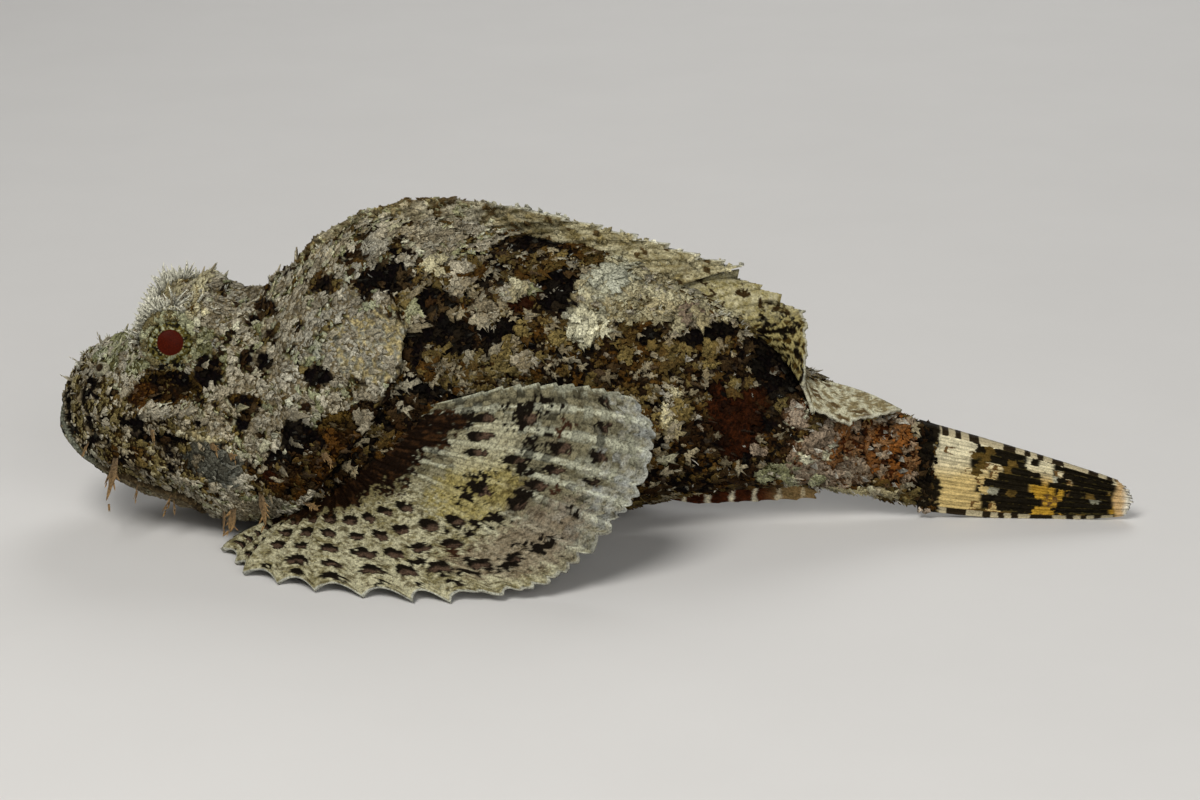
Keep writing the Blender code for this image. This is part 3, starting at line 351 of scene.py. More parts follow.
def kinds_at(points):
    """The kind of skin at each point: the last patch whose ellipse, with its edge moved by noise of
    three sizes, holds the point; else ash on the head and tan, rust or umber by noise behind it.
    Black patches reach a fifth further, because the flakes round them overhang them. Noise then
    turns a share of each kind into small spots of another."""
    x, y, z = points[:, 0], points[:, 1], points[:, 2]
    ragged = two_noises(points, 7, 0.9, 2.4, 1) + 0.5 * soft_noise(points, 1.0, 3)
    drift = two_noises(points, 11, 0.7, 4, 5)
    kind = np.full(len(points), kind_number("tan"))
    kind[drift > 0.25] = kind_number("rust")
    kind[drift < -0.45] = kind_number("umber")
    head = x < GILL_X + gill_edge(z) + 1.5 * soft_noise(points, 5.0, 7)
    nape = (z > back_at(x) - 9 - 4 * ragged) & (x < -30)
    kind[head | nape] = kind_number("ash")
    for name, middle_x, middle_z, half_length, half_height in PATCHES:
        away = ((x - middle_x) / half_length) ** 2 + ((z - middle_z) / half_height) ** 2
        size = 1.45 if name == "black" else 1.0
        kind[away + RAGGED * ragged < size] = kind_number(name)
    kind[(z < 3.5 + 2 * ragged) & (np.abs(y) < half_width_at(x) - 3)] = kind_number("belly")
    speck = two_noises(points, 2.8, 0.7, 1.2, 8)
    luck = np.argsort(np.argsort(speck)) / len(points)
    spotted, taken = kind.copy(), np.zeros(len(KINDS))
    for name, other, share in SPOTS:
        k = kind_number(name)
        spotted[(kind == k) & (luck >= taken[k]) & (luck < taken[k] + share)] = kind_number(other)
        taken[k] += share
    return spotted


def coat_tint(points, kinds, draw):
    """A flake's colour: its kind's two colours mixed by noise, with slow drifts of shade and hue."""
    mix = ramp(-0.6, 0.6, soft_noise(points, 2.6, 14) + draw.normal(0, 0.2, len(points)))[:, None]
    shade = 1 + 0.3 * soft_noise(points, 4.0, 15) + draw.normal(0, 0.11, len(points))
    hue = soft_noise(points, 12.0, 16)
    warm = together(1 + 0.06 * hue, 1, 1 - 0.12 * hue)
    colour = KIND_COLOURS[kinds, 0] * (1 - mix) + KIND_COLOURS[kinds, 1] * mix
    return colour * warm * np.clip(shade, 0.45, 1.6)[:, None]


def painted(mark, paint, ground):
    """The paint where the mark is true, and the ground elsewhere."""
    return np.where(mark[..., None], paint, ground)


def blend(share, first, second):
    """The first colour where the share is 0, the second where it is 1, and a straight mix between."""
    share = np.clip(share, 0, 1)[..., None]
    return np.asarray(first) * (1 - share) + np.asarray(second) * share


# Pieces
def piece(name, points, faces, finish, values=None, uv=None, stands_for=()):
    """One object from arrays: points in millimetres, and faces as rows of numbers of points."""
    mesh = bpy.data.meshes.new(name)
    corners = np.concatenate([f.ravel() for f in faces]).astype(np.int32)
    sizes = np.concatenate([np.full(len(f), f.shape[1]) for f in faces])
    mesh.vertices.add(len(points))
    mesh.vertices.foreach_set("co", (np.clip(points, *CAD_SPACE) * MM).astype(np.float32).ravel())
    mesh.loops.add(len(corners))
    mesh.loops.foreach_set("vertex_index", corners)
    mesh.polygons.add(len(sizes))
    mesh.polygons.foreach_set("loop_start", (np.cumsum(sizes) - sizes).astype(np.int32))
    mesh.update(calc_edges=True)
    mesh.shade_smooth()
    for key, value in (values or {}).items():
        if value.ndim == 1:
            form, field = "FLOAT", "value"
        else:
            form, field = "FLOAT_COLOR", "color"
            value = np.column_stack([value, np.ones(len(value))])
        mesh.attributes.new(key, form, "POINT").data.foreach_set(field, value.astype(np.float32).ravel())
    if uv is not None:
        mesh.uv_layers.new(name="OFBake").data.foreach_set("uv", uv[corners].astype(np.float32).ravel())
    mesh.materials.append(finish)
    made = bpy.data.objects.new(name, mesh)
    stage.collection.objects.link(made)
    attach(made, "root")
    if stands_for:
        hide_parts(*stands_for)


def grid_faces(rows, columns, wrap_columns=False, wrap_rows=False):
    """Quads between neighbouring rows and columns of a grid of points."""
    down = np.arange(rows if wrap_rows else rows - 1)
    over = np.arange(columns if wrap_columns else columns - 1)
    i, j = np.meshgrid(down, over, indexing="ij")
    next_i, next_j = (i + 1) % rows, (j + 1) % columns
    quads = [i * columns + j, i * columns + next_j, next_i * columns + next_j, next_i * columns + j]
    return np.stack(quads, axis=-1).reshape(-1, 4)


def faced_out(points, faces):
    """Turns the faces of a closed shape over if they enclose a negative volume."""
    volume = 0.0
    for rows in faces:
        for k in range(1, rows.shape[1] - 1):
            a, b, c = points[rows[:, 0]], points[rows[:, k]], points[rows[:, k + 1]]
            volume += (np.cross(b, c) * a).sum()
    return faces if volume > 0 else [rows[:, ::-1] for rows in faces]


def closed_tube(rings):
    """Points and faces of a tube of rings whose ends are closed by fans to their middles."""
    rows, columns = rings.shape[:2]
    points = np.concatenate([rings.reshape(-1, 3), rings[0].mean(0)[None], rings[-1].mean(0)[None]])
    ring, last = np.arange(columns), (rows - 1) * columns + np.arange(columns)
    tip = np.full(columns, rows * columns)
    fans = [together(tip, np.roll(ring, -1), ring), together(tip + 1, last, np.roll(last, -1))]
    return points, faced_out(points, [grid_faces(rows, columns, wrap_columns=True), np.concatenate(fans)])


def repeat_faces(one, count, stride):
    """The faces of one shape, repeated for count shapes whose points follow each other."""
    return (one[None] + stride * np.arange(count)[:, None, None]).reshape(-1, one.shape[-1])


def surface_normals(points, wrap=False):
    """Normals of a grid of points: the cross product of the differences between neighbours."""
    down = np.gradient(points, axis=0)
    over = (np.roll(points, -1, 1) - np.roll(points, 1, 1)) if wrap else np.gradient(points, axis=1)
    return unit(np.cross(down, over))


# Materials
class Wiring:
    """A material's nodes, linked as they are made."""

    def __init__(self, name):
        self.material = bpy.data.materials.new(name)
        self.material.use_nodes = True
        self.tree = self.material.node_tree
        self.shader = self.tree.nodes["Principled BSDF"]
        self.place = self.node("ShaderNodeTexCoord").outputs["Object"]

    def node(self, kind, settings=None, **inputs):
        """A node of this kind, with its settings and inputs."""
        made = self.tree.nodes.new(kind)
        for key, value in (settings or {}).items():
            setattr(made, key, value)
        for key, value in inputs.items():
            self.put(made.inputs[key], value)
        return made

    def put(self, socket, value):
        """Links another node's output to a socket, or sets the socket to a constant."""
        if isinstance(value, bpy.types.NodeSocket):
            self.tree.links.new(value, socket)
        else:
            socket.default_value = value

    def noise(self, size, detail=3.0, roughness=0.6):
        """Noise whose features are about this many millimetres across."""
        made = self.node("ShaderNodeTexNoise", Scale=1 / (size * MM), Detail=detail, Roughness=roughness)
        self.put(made.inputs["Vector"], self.place)
        return made.outputs["Fac"]

    def pebbles(self, size, feature="F1"):
        """The distance to the nearest of scattered points, or to the edge between two."""
        made = self.node("ShaderNodeTexVoronoi", {"feature": feature}, Scale=1 / (size * MM))
        self.put(made.inputs["Vector"], self.place)
        return made.outputs["Distance"]

    def attribute(self, name, output):
        """A value that the mesh holds."""
        return self.node("ShaderNodeAttribute", {"attribute_name": name}).outputs[output]

    def math(self, operation, first, second):
        """The sum or product of two values, or what else the operation names."""
        made = self.node("ShaderNodeMath", {"operation": operation})
        self.put(made.inputs[0], first)
        self.put(made.inputs[1], second)
        return made.outputs[0]

    def spread(self, value, low, high, to_low=0.0, to_high=1.0):
        """The value's stretch from low to high, mapped to another stretch and held to it."""
        made = self.node("ShaderNodeMapRange", {"clamp": True})
        for key, number in zip(range(5), (value, low, high, to_low, to_high)):
            self.put(made.inputs[key], number)
        return made.outputs[0]

    def mix(self, share, first, second, blend="MIX"):
        """A share of the second colour in the first."""
        made = self.node("ShaderNodeMix", {"data_type": "RGBA", "blend_type": blend})
        self.put(made.inputs[0], share)
        self.put(made.inputs[6], first)
        self.put(made.inputs[7], second)
        return made.outputs[2]

    def scaled(self, colour, shade):
        """The colour times a number that varies over the surface."""
        grey = self.node("ShaderNodeCombineColor", Red=shade, Green=shade, Blue=shade).outputs[0]
        return self.mix(1.0, colour, grey, "MULTIPLY")

    def bump(self, height, depth):
        """Sets a bump whose full height is depth millimetres."""
        made = self.node("ShaderNodeBump", Height=height, Distance=depth * MM)
        self.put(self.shader.inputs["Normal"], made.outputs[0])

    def finish(self, colour, roughness, specular=0.04, sheen=0.0):
        """Links colour and roughness to the shader, and gives back the material."""
        self.put(self.shader.inputs["Base Color"], colour)
        self.put(self.shader.inputs["Roughness"], roughness)
        self.shader.inputs["Specular IOR Level"].default_value = specular
        self.shader.inputs["Sheen Weight"].default_value = sheen
        return self.material


def skin_material():
    """Ground skin: its tint, with light grains, dark pores and thin light folds between cells."""
    w = Wiring("mottled skin")
    tint = w.attribute("Tint", "Color")
    pores = w.spread(w.noise(0.8, 4.0, 0.7), 0.4, 0.6, 0.5, 1.5)
    folds = w.spread(w.pebbles(1.5, "DISTANCE_TO_EDGE"), 0.03, 0.14, 1.5, 0.95)
    colour = w.scaled(tint, w.math("MULTIPLY", pores, folds))
    w.bump(w.math("ADD", w.noise(0.7, 4.0, 0.7), w.spread(w.pebbles(1.1), 0.0, 0.7, 1.0, 0.0)), 0.4)
    return w.finish(colour, w.spread(w.noise(2.0), 0.3, 0.7, 0.5, 0.8))


def flake_material():
    """Flakes of skin: their tint with mottling and dark specks finer than a flake, and thin light edges."""
    w = Wiring("flakes of skin")
    tint = w.attribute("Tint", "Color")
    mottle = w.spread(w.noise(0.45, 4.0, 0.75), 0.37, 0.63, 0.35, 1.65)
    specks = w.spread(w.pebbles(1.1), 0.1, 0.26, 0.3, 1.0)
    colour = w.scaled(tint, w.math("MULTIPLY", mottle, specks))
    ragged = w.math("ADD", w.attribute("Rim", "Fac"), w.spread(w.noise(0.4), 0.3, 0.7, -0.2, 0.2))
    colour = w.mix(w.spread(ragged, 0.74, 0.98, 0.0, 0.85), colour, w.scaled(tint, 1.5))
    w.bump(w.noise(0.5, 4.0, 0.7), 0.25)
    return w.finish(colour, w.spread(w.noise(1.2), 0.3, 0.7, 0.45, 0.8))


def flap_material():
    """Flaps and hairs of skin: their tint in faint blotches, with a soft sheen."""
    w = Wiring("flaps of skin")
    colour = w.scaled(w.attribute("Tint", "Color"), w.spread(w.noise(0.5, 4.0, 0.75), 0.38, 0.62, 0.4, 1.6))
    w.bump(w.noise(0.4), 0.25)
    return w.finish(colour, w.spread(w.noise(0.8), 0.3, 0.7, 0.4, 0.65), 0.08, sheen=0.03)


def fin_material(name, grain, depth, contrast):
    """Fin skin: its tint with fine grain and dark specks, and bump of about that grain's size."""
    w = Wiring(name)
    mottle = w.spread(w.noise(grain, 4.0, 0.75), 0.36, 0.64, 1 - contrast, 1 + contrast)
    specks = w.spread(w.pebbles(grain * 2.2), 0.1, 0.26, 1 - 1.2 * contrast, 1.0)
    colour = w.scaled(w.attribute("Tint", "Color"), w.math("MULTIPLY", mottle, specks))
    grains = w.spread(w.pebbles(grain * 1.3), 0.0, 0.7, 0.8, 0.0)
    w.bump(w.math("ADD", w.noise(grain, 4.0, 0.7), grains), depth)
    return w.finish(colour, w.spread(w.noise(1.5), 0.3, 0.7, 0.42, 0.7))


def eye_material():
    """The eye: its tint in fine grains, with little shine."""
    w = Wiring("eye")
    colour = w.scaled(w.attribute("Tint", "Color"), w.spread(w.noise(0.35), 0.35, 0.65, 0.75, 1.25))
    return w.finish(colour, 0.5, 0.05)


# The skin
HEAD_RINGS, BODY_RINGS, RING_POINTS = 150, 150, 280
# The gill cover's free edge: how far each ring of the fold stands back, and how deep it lies
GILL_FOLD = (
    (-0.8, 0.1), (0.2, 0.2), (1.1, 0.15), (1.6, -0.15), (1.5, -0.6), (0.8, -0.95), (-0.4, -1.2),
    (-1.6, -1.5), (-2, -2), (-1.4, -2.5), (-0.2, -2.7), (1.2, -2.6),
)
LIP_DROP = 0.9  # how far the middle of the lower lip lies under the mouth's line


def mouth_gap(points):
    """Signed distance from the mouth's line in side view, positive above it: the height over the
    line, times the cosine of the line's slope."""
    place, height = np.array(MOUTH_LINE, float).T
    slope = np.interp(points[..., 0], (place[:-1] + place[1:]) / 2, np.diff(height) / np.diff(place))
    return (points[..., 2] - np.interp(points[..., 0], place, height)) / np.hypot(1, slope)


def eye_parts(points):
    """Distance from the nearer eye's axis, height along it from the eye's middle, and that axis."""
    side = np.where(points[..., 1] < 0, -1.0, 1.0)
    mirror = together(1, side, 1)
    axis = unit(np.array(EYE_WAY)) * mirror
    offset = points - np.array(EYE_MIDDLE) * mirror
    height = (offset * axis).sum(-1)
    return np.linalg.norm(offset - height[..., None] * axis, axis=-1), height, axis


def lumps(points):
    """Height of the crust on the skin: pebbles of two sizes and soft noise, coarser on the head."""
    head = 1 - ramp(-66, -46, points[..., 0])
    coarse, _, _ = pebbles(points, 4.4, 11)
    fine, _, _ = pebbles(points, 1.7, 12)
    return (0.5 + 0.9 * head) * (0.45 - coarse) + 0.4 * (0.5 - fine) + 0.5 * soft_noise(points, 7.0, 13)


def crust(points, kinds):
    """The crust's height with its kinds' rise, held to the depth of the coat."""
    return np.clip(lumps(points) + KIND_RISE[kinds], -1.5, COAT_DEPTH + 0.15)


class Places(NamedTuple):
    """Places on a surface: points, normals, tailward directions, and where each lies on the bake map."""

    point: np.ndarray
    normal: np.ndarray
    along: np.ndarray
    bake: np.ndarray

    def where(self, chosen):
        """Those of the places that are chosen."""
        return Places(*(field[chosen] for field in self))

    def moved(self, outward):
        """The places moved along their normals."""
        return self._replace(point=self.point + outward * self.normal)


def body_places(station, angle):
    """Places on the body: the normal is the cross product of small steps along and round it, and
    the bake map unrolls the body by its station and angle."""
    here = body_points(station, angle, -COAT_DEPTH)
    along = body_points(station + 0.4, angle, -COAT_DEPTH) - here
    round_it = body_points(station, angle + 0.02, -COAT_DEPTH) - here
    normal = unit(np.cross(along, round_it))
    outward = here - together(here[:, 0], tail_bend_at(here[:, 0]), widest_at(here[:, 0]))
    normal *= np.where((normal * outward).sum(-1, keepdims=True) < 0, -1, 1)
    along = unit(along - normal * (along * normal).sum(-1, keepdims=True))
    bake = together((station - SNOUT_X) / (TAIL_BASE_X - SNOUT_X), angle / TURN)
    return Places(here, normal, along, 0.01 + 0.98 * bake)


def scatter(first, last, spacing, draw):
    """Jittered stations and angles: rows a spacing apart, with as many places in each as its girth
    holds, every second row shifted by half."""
    stations = np.arange(first, last, spacing)
    round_it = np.linspace(0, TURN, 121)
    ring = body_points(stations[:, None], round_it[None, :])
    steps = np.linalg.norm(np.diff(ring, axis=1), axis=-1)
    arc = np.concatenate([np.zeros((len(stations), 1)), np.cumsum(steps, axis=1)], axis=1)
    places, angles = [], []
    for row, (x, lengths) in enumerate(zip(stations, arc)):
        count = max(int(lengths[-1] / spacing), 6)
        share = (np.arange(count) + 0.5 * (row % 2) + draw.uniform(-0.4, 0.4, count)) / count % 1.0
        places.append(x + spacing * draw.uniform(-0.4, 0.4, count))
        angles.append(np.interp(share * lengths[-1], lengths, round_it))
    return np.concatenate(places), np.concatenate(angles)


def skin_places(first, last, spacing, draw):
    """Scattered places on the crusted skin and their kinds, clear of eyes, nostrils, lips, floor and
    the anal fin, and thinned out by the kinds' cover."""
    places = body_places(*scatter(first, last, spacing, draw))
    kinds = kinds_at(places.point)
    here, gap = places.point, mouth_gap(places.point)
    keep = (draw.random(len(here)) < KIND_COVER[kinds]) & (here[:, 2] > 0.7) & (eye_parts(here)[0] > 6.6)
    keep &= (gap > 0.3) | (gap < -1.4) | (here[:, 0] > -98)
    keep &= (np.abs(here[:, 0] - 32) > 22) | (here[:, 2] > belly_at(here[:, 0]) + 1.6)
    for spot, radius, _, _ in NOSTRILS:
        keep &= np.linalg.norm(here * (1, 0, 1) + np.abs(here) * (0, 1, 0) - spot, axis=-1) > radius + 0.4
    places, kinds = places.where(keep), kinds[keep]
    return places.moved(crust(places.point, kinds)[:, None]), kinds


def skin_rings():
    """Rings of the skin, (rings, points round, 3), with the gill cover's fold among them: the fold's
    rings go back over themselves, more where the cover's edge stands free and as noise has it."""
    head = SNOUT_X + (GILL_X - 1.2 - SNOUT_X) * np.linspace(0, 1, HEAD_RINGS) ** 1.15
    body = np.linspace(GILL_X + 1.8, TAIL_BASE_X, BODY_RINGS)
    shift, depth = np.array(GILL_FOLD).T
    plain = np.linspace(-0.9, 1.5, len(shift))
    angle = np.arange(RING_POINTS) * TURN / RING_POINTS
    edge = body_points(GILL_X, angle)
    window = ramp(14, 26, edge[:, 2]) * (1 - ramp(54, 64, edge[:, 2]))
    window = window * (1 + 0.5 * soft_noise(edge, 3.0, 17))
    fold = GILL_X + plain[:, None] + (shift - plain)[:, None] * window
    columns = np.ones((1, RING_POINTS))
    station = np.concatenate([head[:, None] * columns, fold, body[:, None] * columns])
    step = np.concatenate([0 * head, depth, gill_step(body)])[:, None]
    return body_points(station, angle[None, :], -COAT_DEPTH, step)


def shrinking_ends(rings, count):
    """Adds rings that shrink to the middles of the first and last ring, as on a round cap."""
    shares = np.clip(np.sin(np.linspace(0, math.pi / 2, count + 1)[:-1]), 0.02, 1)[:, None, None]
    first, last = rings[0], rings[-1]
    nose = first.mean(0) + (first - first.mean(0)) * shares
    stern = last.mean(0) + (last - last.mean(0)) * shares[::-1]
    return np.concatenate([nose, rings, stern])


def make_skin(finish):
    """One closed skin from snout to tail, pushed out by the crust and the jaw's step, and in at the
    mouth's groove and round the eyes, where painted shade darkens the groove and the sunken skin."""
    rings = skin_rings()
    normal = surface_normals(rings, wrap=True)
    middle = together(rings[..., 0], tail_bend_at(rings[..., 0]), widest_at(rings[..., 0]))
    normal *= np.sign(((rings - middle) * normal).sum())
    kinds = kinds_at(rings.reshape(-1, 3)).reshape(rings.shape[:2])
    gap = mouth_gap(rings)
    at_mouth = 1 - ramp(-99, -96.5, rings[..., 0])
    push = crust(rings, kinds) * (1 - 0.85 * at_mouth * np.exp(-(((gap + 0.7) / 1.1) ** 4)))
    push += at_mouth * 0.7 * (1 - ramp(-0.3, 0.3, gap))
    push += at_mouth * (0.3 * np.exp(-(((gap + LIP_DROP) / 0.6) ** 2)) - 1.5 * np.exp(-((gap / 0.35) ** 2)))
    rings = rings + normal * push[..., None]
    away, height, axis = eye_parts(rings)
    sink = (1 - ramp(5.4, 6.5, away)) * np.clip(height - 1.0, 0, None)
    rings = shrinking_ends(rings - axis * sink[..., None], 5)
    rings[..., 2] = np.maximum(rings[..., 2], 0.15)
    points, faces = closed_tube(rings)
    kinds, gap = kinds_at(points), mouth_gap(points)
    _, crack, tag = pebbles(points, 2.0, 21)
    tint = KIND_COLOURS[kinds, 2] * (0.65 + 0.7 * tag[:, None])
    tint[(kinds == kind_number("plate")) & (crack < 0.22)] = (0.25, 0.205, 0.1)
    lip = (gap > -1.4) & (gap < 0.3) & (points[:, 0] < -98)
    lip_tint = blend(ramp(-128, -121, points[:, 0]), (0.13, 0.135, 0.1), (0.06, 0.042, 0.02))
    tint[lip] = lip_tint[lip]
    # Painted shade: the mouth's groove, where the lips meet, is near black.
    tint[lip & (gap > -0.3)] = (0.015, 0.01, 0.005)
    # Painted shade: the skin sunk round each eye, under the lids, is darkened to 0.3 of its tint.
    tint[eye_parts(points)[0] < 6.0] *= 0.3
    replaced = ("head", "lower_jaw", "torso", "tail_stem")
    piece("skin", points, faces, finish, {"Tint": tint}, stands_for=replaced)


# Flakes
def flakes(name, places, radius, lift, jag, tint, finish, draw, rim=9, rings=1):
    """Flakes of skin, each a thin closed lens: a raised middle, a ragged rim and a foot in the skin.

    Rim point k lies in direction 2 pi k / rim at radius * chance, more along one way than across it,
    less by jag for every second point of the tailward half and more for the others, and at the
    height lift * (0.3 + 0.8 cos(direction)) plus a random tilt, so that half stands free. Rings
    inside the rim lie at even shares of the way to it, rounder and nearer the middle's height.
    """
    count = len(radius)
    across = np.cross(places.normal, places.along)
    turn = np.arange(rim) * TURN / rim + draw.uniform(0, 1, (count, 1))
    frayed = 1 + jag * (0.4 - 1.4 * (np.arange(rim) % 2)) * ramp(-0.5, 0.3, np.cos(turn))
    stretch = 1 + draw.uniform(0, 0.38, (count, 1)) * np.cos(2 * turn + draw.uniform(0, 6.3, (count, 1)))
    reach = radius[:, None] * draw.uniform(0.66, 1.3, (count, rim)) * frayed * stretch
    tilt = draw.normal(0, 0.14, (2, count, 1)) * reach
    height = lift[:, None] * (0.3 + 0.8 * np.cos(turn)) * draw.uniform(0.5, 1.5, (count, rim))
    height = np.clip(height + tilt[0] * np.cos(turn) + tilt[1] * np.sin(turn), -0.45, 1.0)
    side = np.cos(turn)[..., None] * places.along[:, None] + np.sin(turn)[..., None] * across[:, None]
    middle = 0.5 * lift + draw.normal(0, 0.1, count)
    points, shades = [places.moved(middle[:, None]).point[:, None]], [0.85]
    for share in np.arange(1, rings + 1) / rings:
        out = share * (radius[:, None] * (1 - share) + reach * share)
        up = middle[:, None] * (1 - share**2) + height * share**2
        points.append(places.point[:, None] + out[..., None] * side + up[..., None] * places.normal[:, None])
        shades += [0.85 + 0.25 * share] * rim
    points = np.concatenate([*points, places.moved(-0.7).point[:, None]], axis=1)
    points[..., 2] = np.maximum(points[..., 2], 0.1)
    k, m = np.arange(rim), (np.arange(rim) + 1) % rim
    stride, last = rings * rim + 2, (rings - 1) * rim + 1
    fans = np.concatenate([together(0, 1 + k, 1 + m), together(stride - 1, last + m, last + k)])
    faces = [repeat_faces(fans, count, stride)]
    if rings > 1:
        faces.append(repeat_faces(grid_faces(rings, rim, wrap_columns=True)[:, ::-1] + 1, count, stride))
    # Painted shade: the foot, on each flake's underside beneath its raised rim, takes 0.3 of the tint. The
    # middle and the lighter rim are the flake's own colour.
    colours = tint[:, None] * np.array([*shades, 0.3])[:, None] * draw.uniform(0.72, 1.28, (count, stride, 1))
    rim_value = np.zeros((count, stride))
    rim_value[:, last:-1] = 1.0
    local = np.zeros((stride, 2))
    for ring in range(rings):
        where = slice(1 + ring * rim, 1 + (ring + 1) * rim)
        local[where] = together(np.cos(turn[0]), np.sin(turn[0])) * 0.0015 * (ring + 1) / rings
    uv = (places.bake[:, None] + local).reshape(-1, 2)
    values = {"Tint": colours.reshape(-1, 3), "Rim": rim_value.ravel()}
    piece(name, points.reshape(-1, 3), faces, finish, values, uv)


# Coats of flakes: name, first and last station, spacing, radii, lifts, jag, rim points, rings, slot
COATS = (
    ("head_flakes_front", SNOUT_X + 1, -97, 0.86, (0.32, 0.75), (0.1, 0.45), 0.3, 9, 1, "head_skin"),
    ("head_flakes_back", -97, GILL_X + 0.6, 0.95, (0.35, 0.85), (0.1, 0.45), 0.3, 9, 1, "head_skin"),
    ("head_chips", SNOUT_X + 2, GILL_X + 0.6, 2.3, (0.8, 1.5), (0.2, 0.6), 0.3, 11, 2, "head_skin"),
    ("body_scales", GILL_X + 0.6, TAIL_BASE_X - 1, 2.1, (0.95, 2.15), (0.2, 0.65), 0.6, 13, 2, "body_skin"),
    ("body_chips", GILL_X + 0.6, TAIL_BASE_X - 0.5, 1.65, (0.45, 1.15), (0.2, 0.6), 0.55, 10, 1, "body_skin"),
    ("body_crumbs", GILL_X + 0.6, TAIL_BASE_X, 1.4, (0.25, 0.6), (0.2, 0.6), 0.2, 7, 1, "body_skin"),
)


def make_flakes(finish):
    """Small flakes and larger chips on the head, and scales, chips and crumbs behind it."""
    for seed, (name, first, last, spacing, radii, lifts, jag, rim, rings, slot) in enumerate(COATS, 31):
        draw = default_rng(seed)
        places, kinds = skin_places(first, last, spacing, draw)
        radius = radii[0] * (radii[1] / radii[0]) ** draw.random(len(kinds))
        lift = draw.uniform(*lifts, len(kinds))
        tint = coat_tint(places.point, kinds, draw)
        flakes(name, places, radius, lift, jag, tint, finish, draw, rim, rings)


# Broad leaves of skin on each side: place in side view, radius, kind
FRONDS = (
    (-4.2, 54.9, 4.6, "white"), (1.5, 64.5, 4.4, "white"), (7.5, 62, 3.6, "cream"),
    (-27.7, 58.8, 3.2, "ash"), (-20.6, 63.4, 3.4, "cream"), (-34.5, 67, 4.6, "ash"),
    (-40.5, 70, 3.6, "cream"), (-44.5, 59.6, 2.4, "sage"), (15, 58.5, 3.4, "cream"),
    (22, 55.5, 3.4, "lilac"), (48.6, 29.3, 3, "lilac"), (62.5, 15.5, 2.8, "lilac"), (54, 12, 2.4, "sage"),
    (55.5, 22.5, 3.4, "lilac"), (-57, 35.5, 3.2, "ash"), (16.5, 46, 2.8, "tan"), (27, 46.5, 2.6, "tan"),
    (6, 47, 2.4, "tan"), (-31, 46.5, 2.8, "tan"), (-18, 47.5, 3, "ash"), (-11, 52.5, 2.4, "tan"),
    (20, 34, 3, "tan"), (39.5, 21.5, 2.2, "lilac"), (60, 26, 2.6, "russet"),
)


def make_fronds(skin, finish):
    """The broad leaves: each is nine ragged flakes that overlap about its place."""
    draw = default_rng(44)
    spots = np.array([(x, y, z) for x, z, _, _ in FRONDS for y in (-60, 60)], float)
    kinds = np.repeat([kind_number(frond[3]) for frond in FRONDS], 2 * 9)
    reach = np.repeat([frond[2] for frond in FRONDS], 2 * 9)
    places = skin.nearest(spots, (1, 0.03, 1)).where(np.repeat(np.arange(len(spots)), 9))
    turn, away = draw.uniform(0, TURN, len(reach)), reach * 0.7 * np.sqrt(draw.random(len(reach)))
    across = np.cross(places.normal, places.along)
    aside = (away * np.cos(turn))[:, None] * places.along + (away * np.sin(turn))[:, None] * across
    places = places._replace(point=places.point + aside).moved(crust(places.point, kinds)[:, None] + 0.1)
    radius = reach * draw.uniform(0.32, 0.6, len(reach))
    tint = coat_tint(places.point, kinds, draw)
    lift = draw.uniform(0.3, 0.9, len(reach))
    flakes("broad_leaves", places, radius, lift, 0.25, tint, finish, draw, 16, 3)


# Blades: every flap, hair, tooth and spine is one
def blades(places, ways, lengths, widths, thick, curl, outline, draw=None):
    """Tapered blades with six corners in each ring: points, faces of one, and shares of the length.

    Ring t stands at root + way * length * t + face * curl * length * t^2, and is as wide as the
    outline's share of the blade's width there.
    """
    count, ways = len(lengths), unit(ways)
    across = unit(np.cross(ways, places.normal))
    face = unit(np.cross(across, ways))
    face *= np.where((face * places.normal).sum(-1, keepdims=True) < 0, -1, 1)
    t, share = np.array(outline, float).T
    spread = np.repeat(share[None], count, 0)
    if draw is not None:
        spread = spread * draw.uniform(0.7, 1.35, spread.shape)
    middle = places.point[:, None] + (lengths[:, None] * t)[..., None] * ways[:, None]
    middle = middle + ((curl * lengths)[:, None] * t**2)[..., None] * face[:, None]
    half = (widths[:, None] * spread / 2)[..., None] * across[:, None]
    deep = ((thick * widths)[:, None] * np.clip(share, 0.25, 1) / 2)[..., None] * face[:, None]
    corners = [half + 0.4 * deep, deep, 0.4 * deep - half, -half - 0.4 * deep, -deep, half - 0.4 * deep]
    points = np.stack([middle + corner for corner in corners], axis=2).reshape(count, -1, 3)
    caps = np.stack([np.arange(6)[::-1], (len(t) - 1) * 6 + np.arange(6)])
    faces = faced_out(points[0], [grid_faces(len(t), 6, wrap_columns=True), caps])
    return points, faces, np.repeat(t, 6)


def blade_piece(name, lots, finish):
    """One object of several lots of blades: each lot is (blades, root tints, tip tints, bake places).
    Their side edges are lighter than their middles."""
    points, quads, caps, tints, uvs, start = [], [], [], [], [], 0
    for (shape, faces, t), low, high, bake in lots:
        count, stride = shape.shape[:2]
        quads.append(repeat_faces(faces[0], count, stride) + start)
        caps.append(repeat_faces(faces[1], count, stride) + start)
        edge = np.tile((1.3, 0.75, 1.3, 1.3, 0.75, 1.3), stride // 6)[None, :, None]
        tint = (low[:, None] * (1 - t[None, :, None]) + high[:, None] * t[None, :, None]) * edge
        points.append(shape.reshape(-1, 3))
        tints.append(tint.reshape(-1, 3))
        local = together(np.tile((0.5, 0, -0.5, -0.5, 0, 0.5), stride // 6), t - 0.5) * 0.003
        uvs.append((bake[:, None] + local[None]).reshape(-1, 2))
        start += count * stride
    values = {"Tint": np.concatenate(tints)}
    faces = [np.concatenate(quads), np.concatenate(caps)]
    piece(name, np.concatenate(points), faces, finish, values, np.concatenate(uvs))


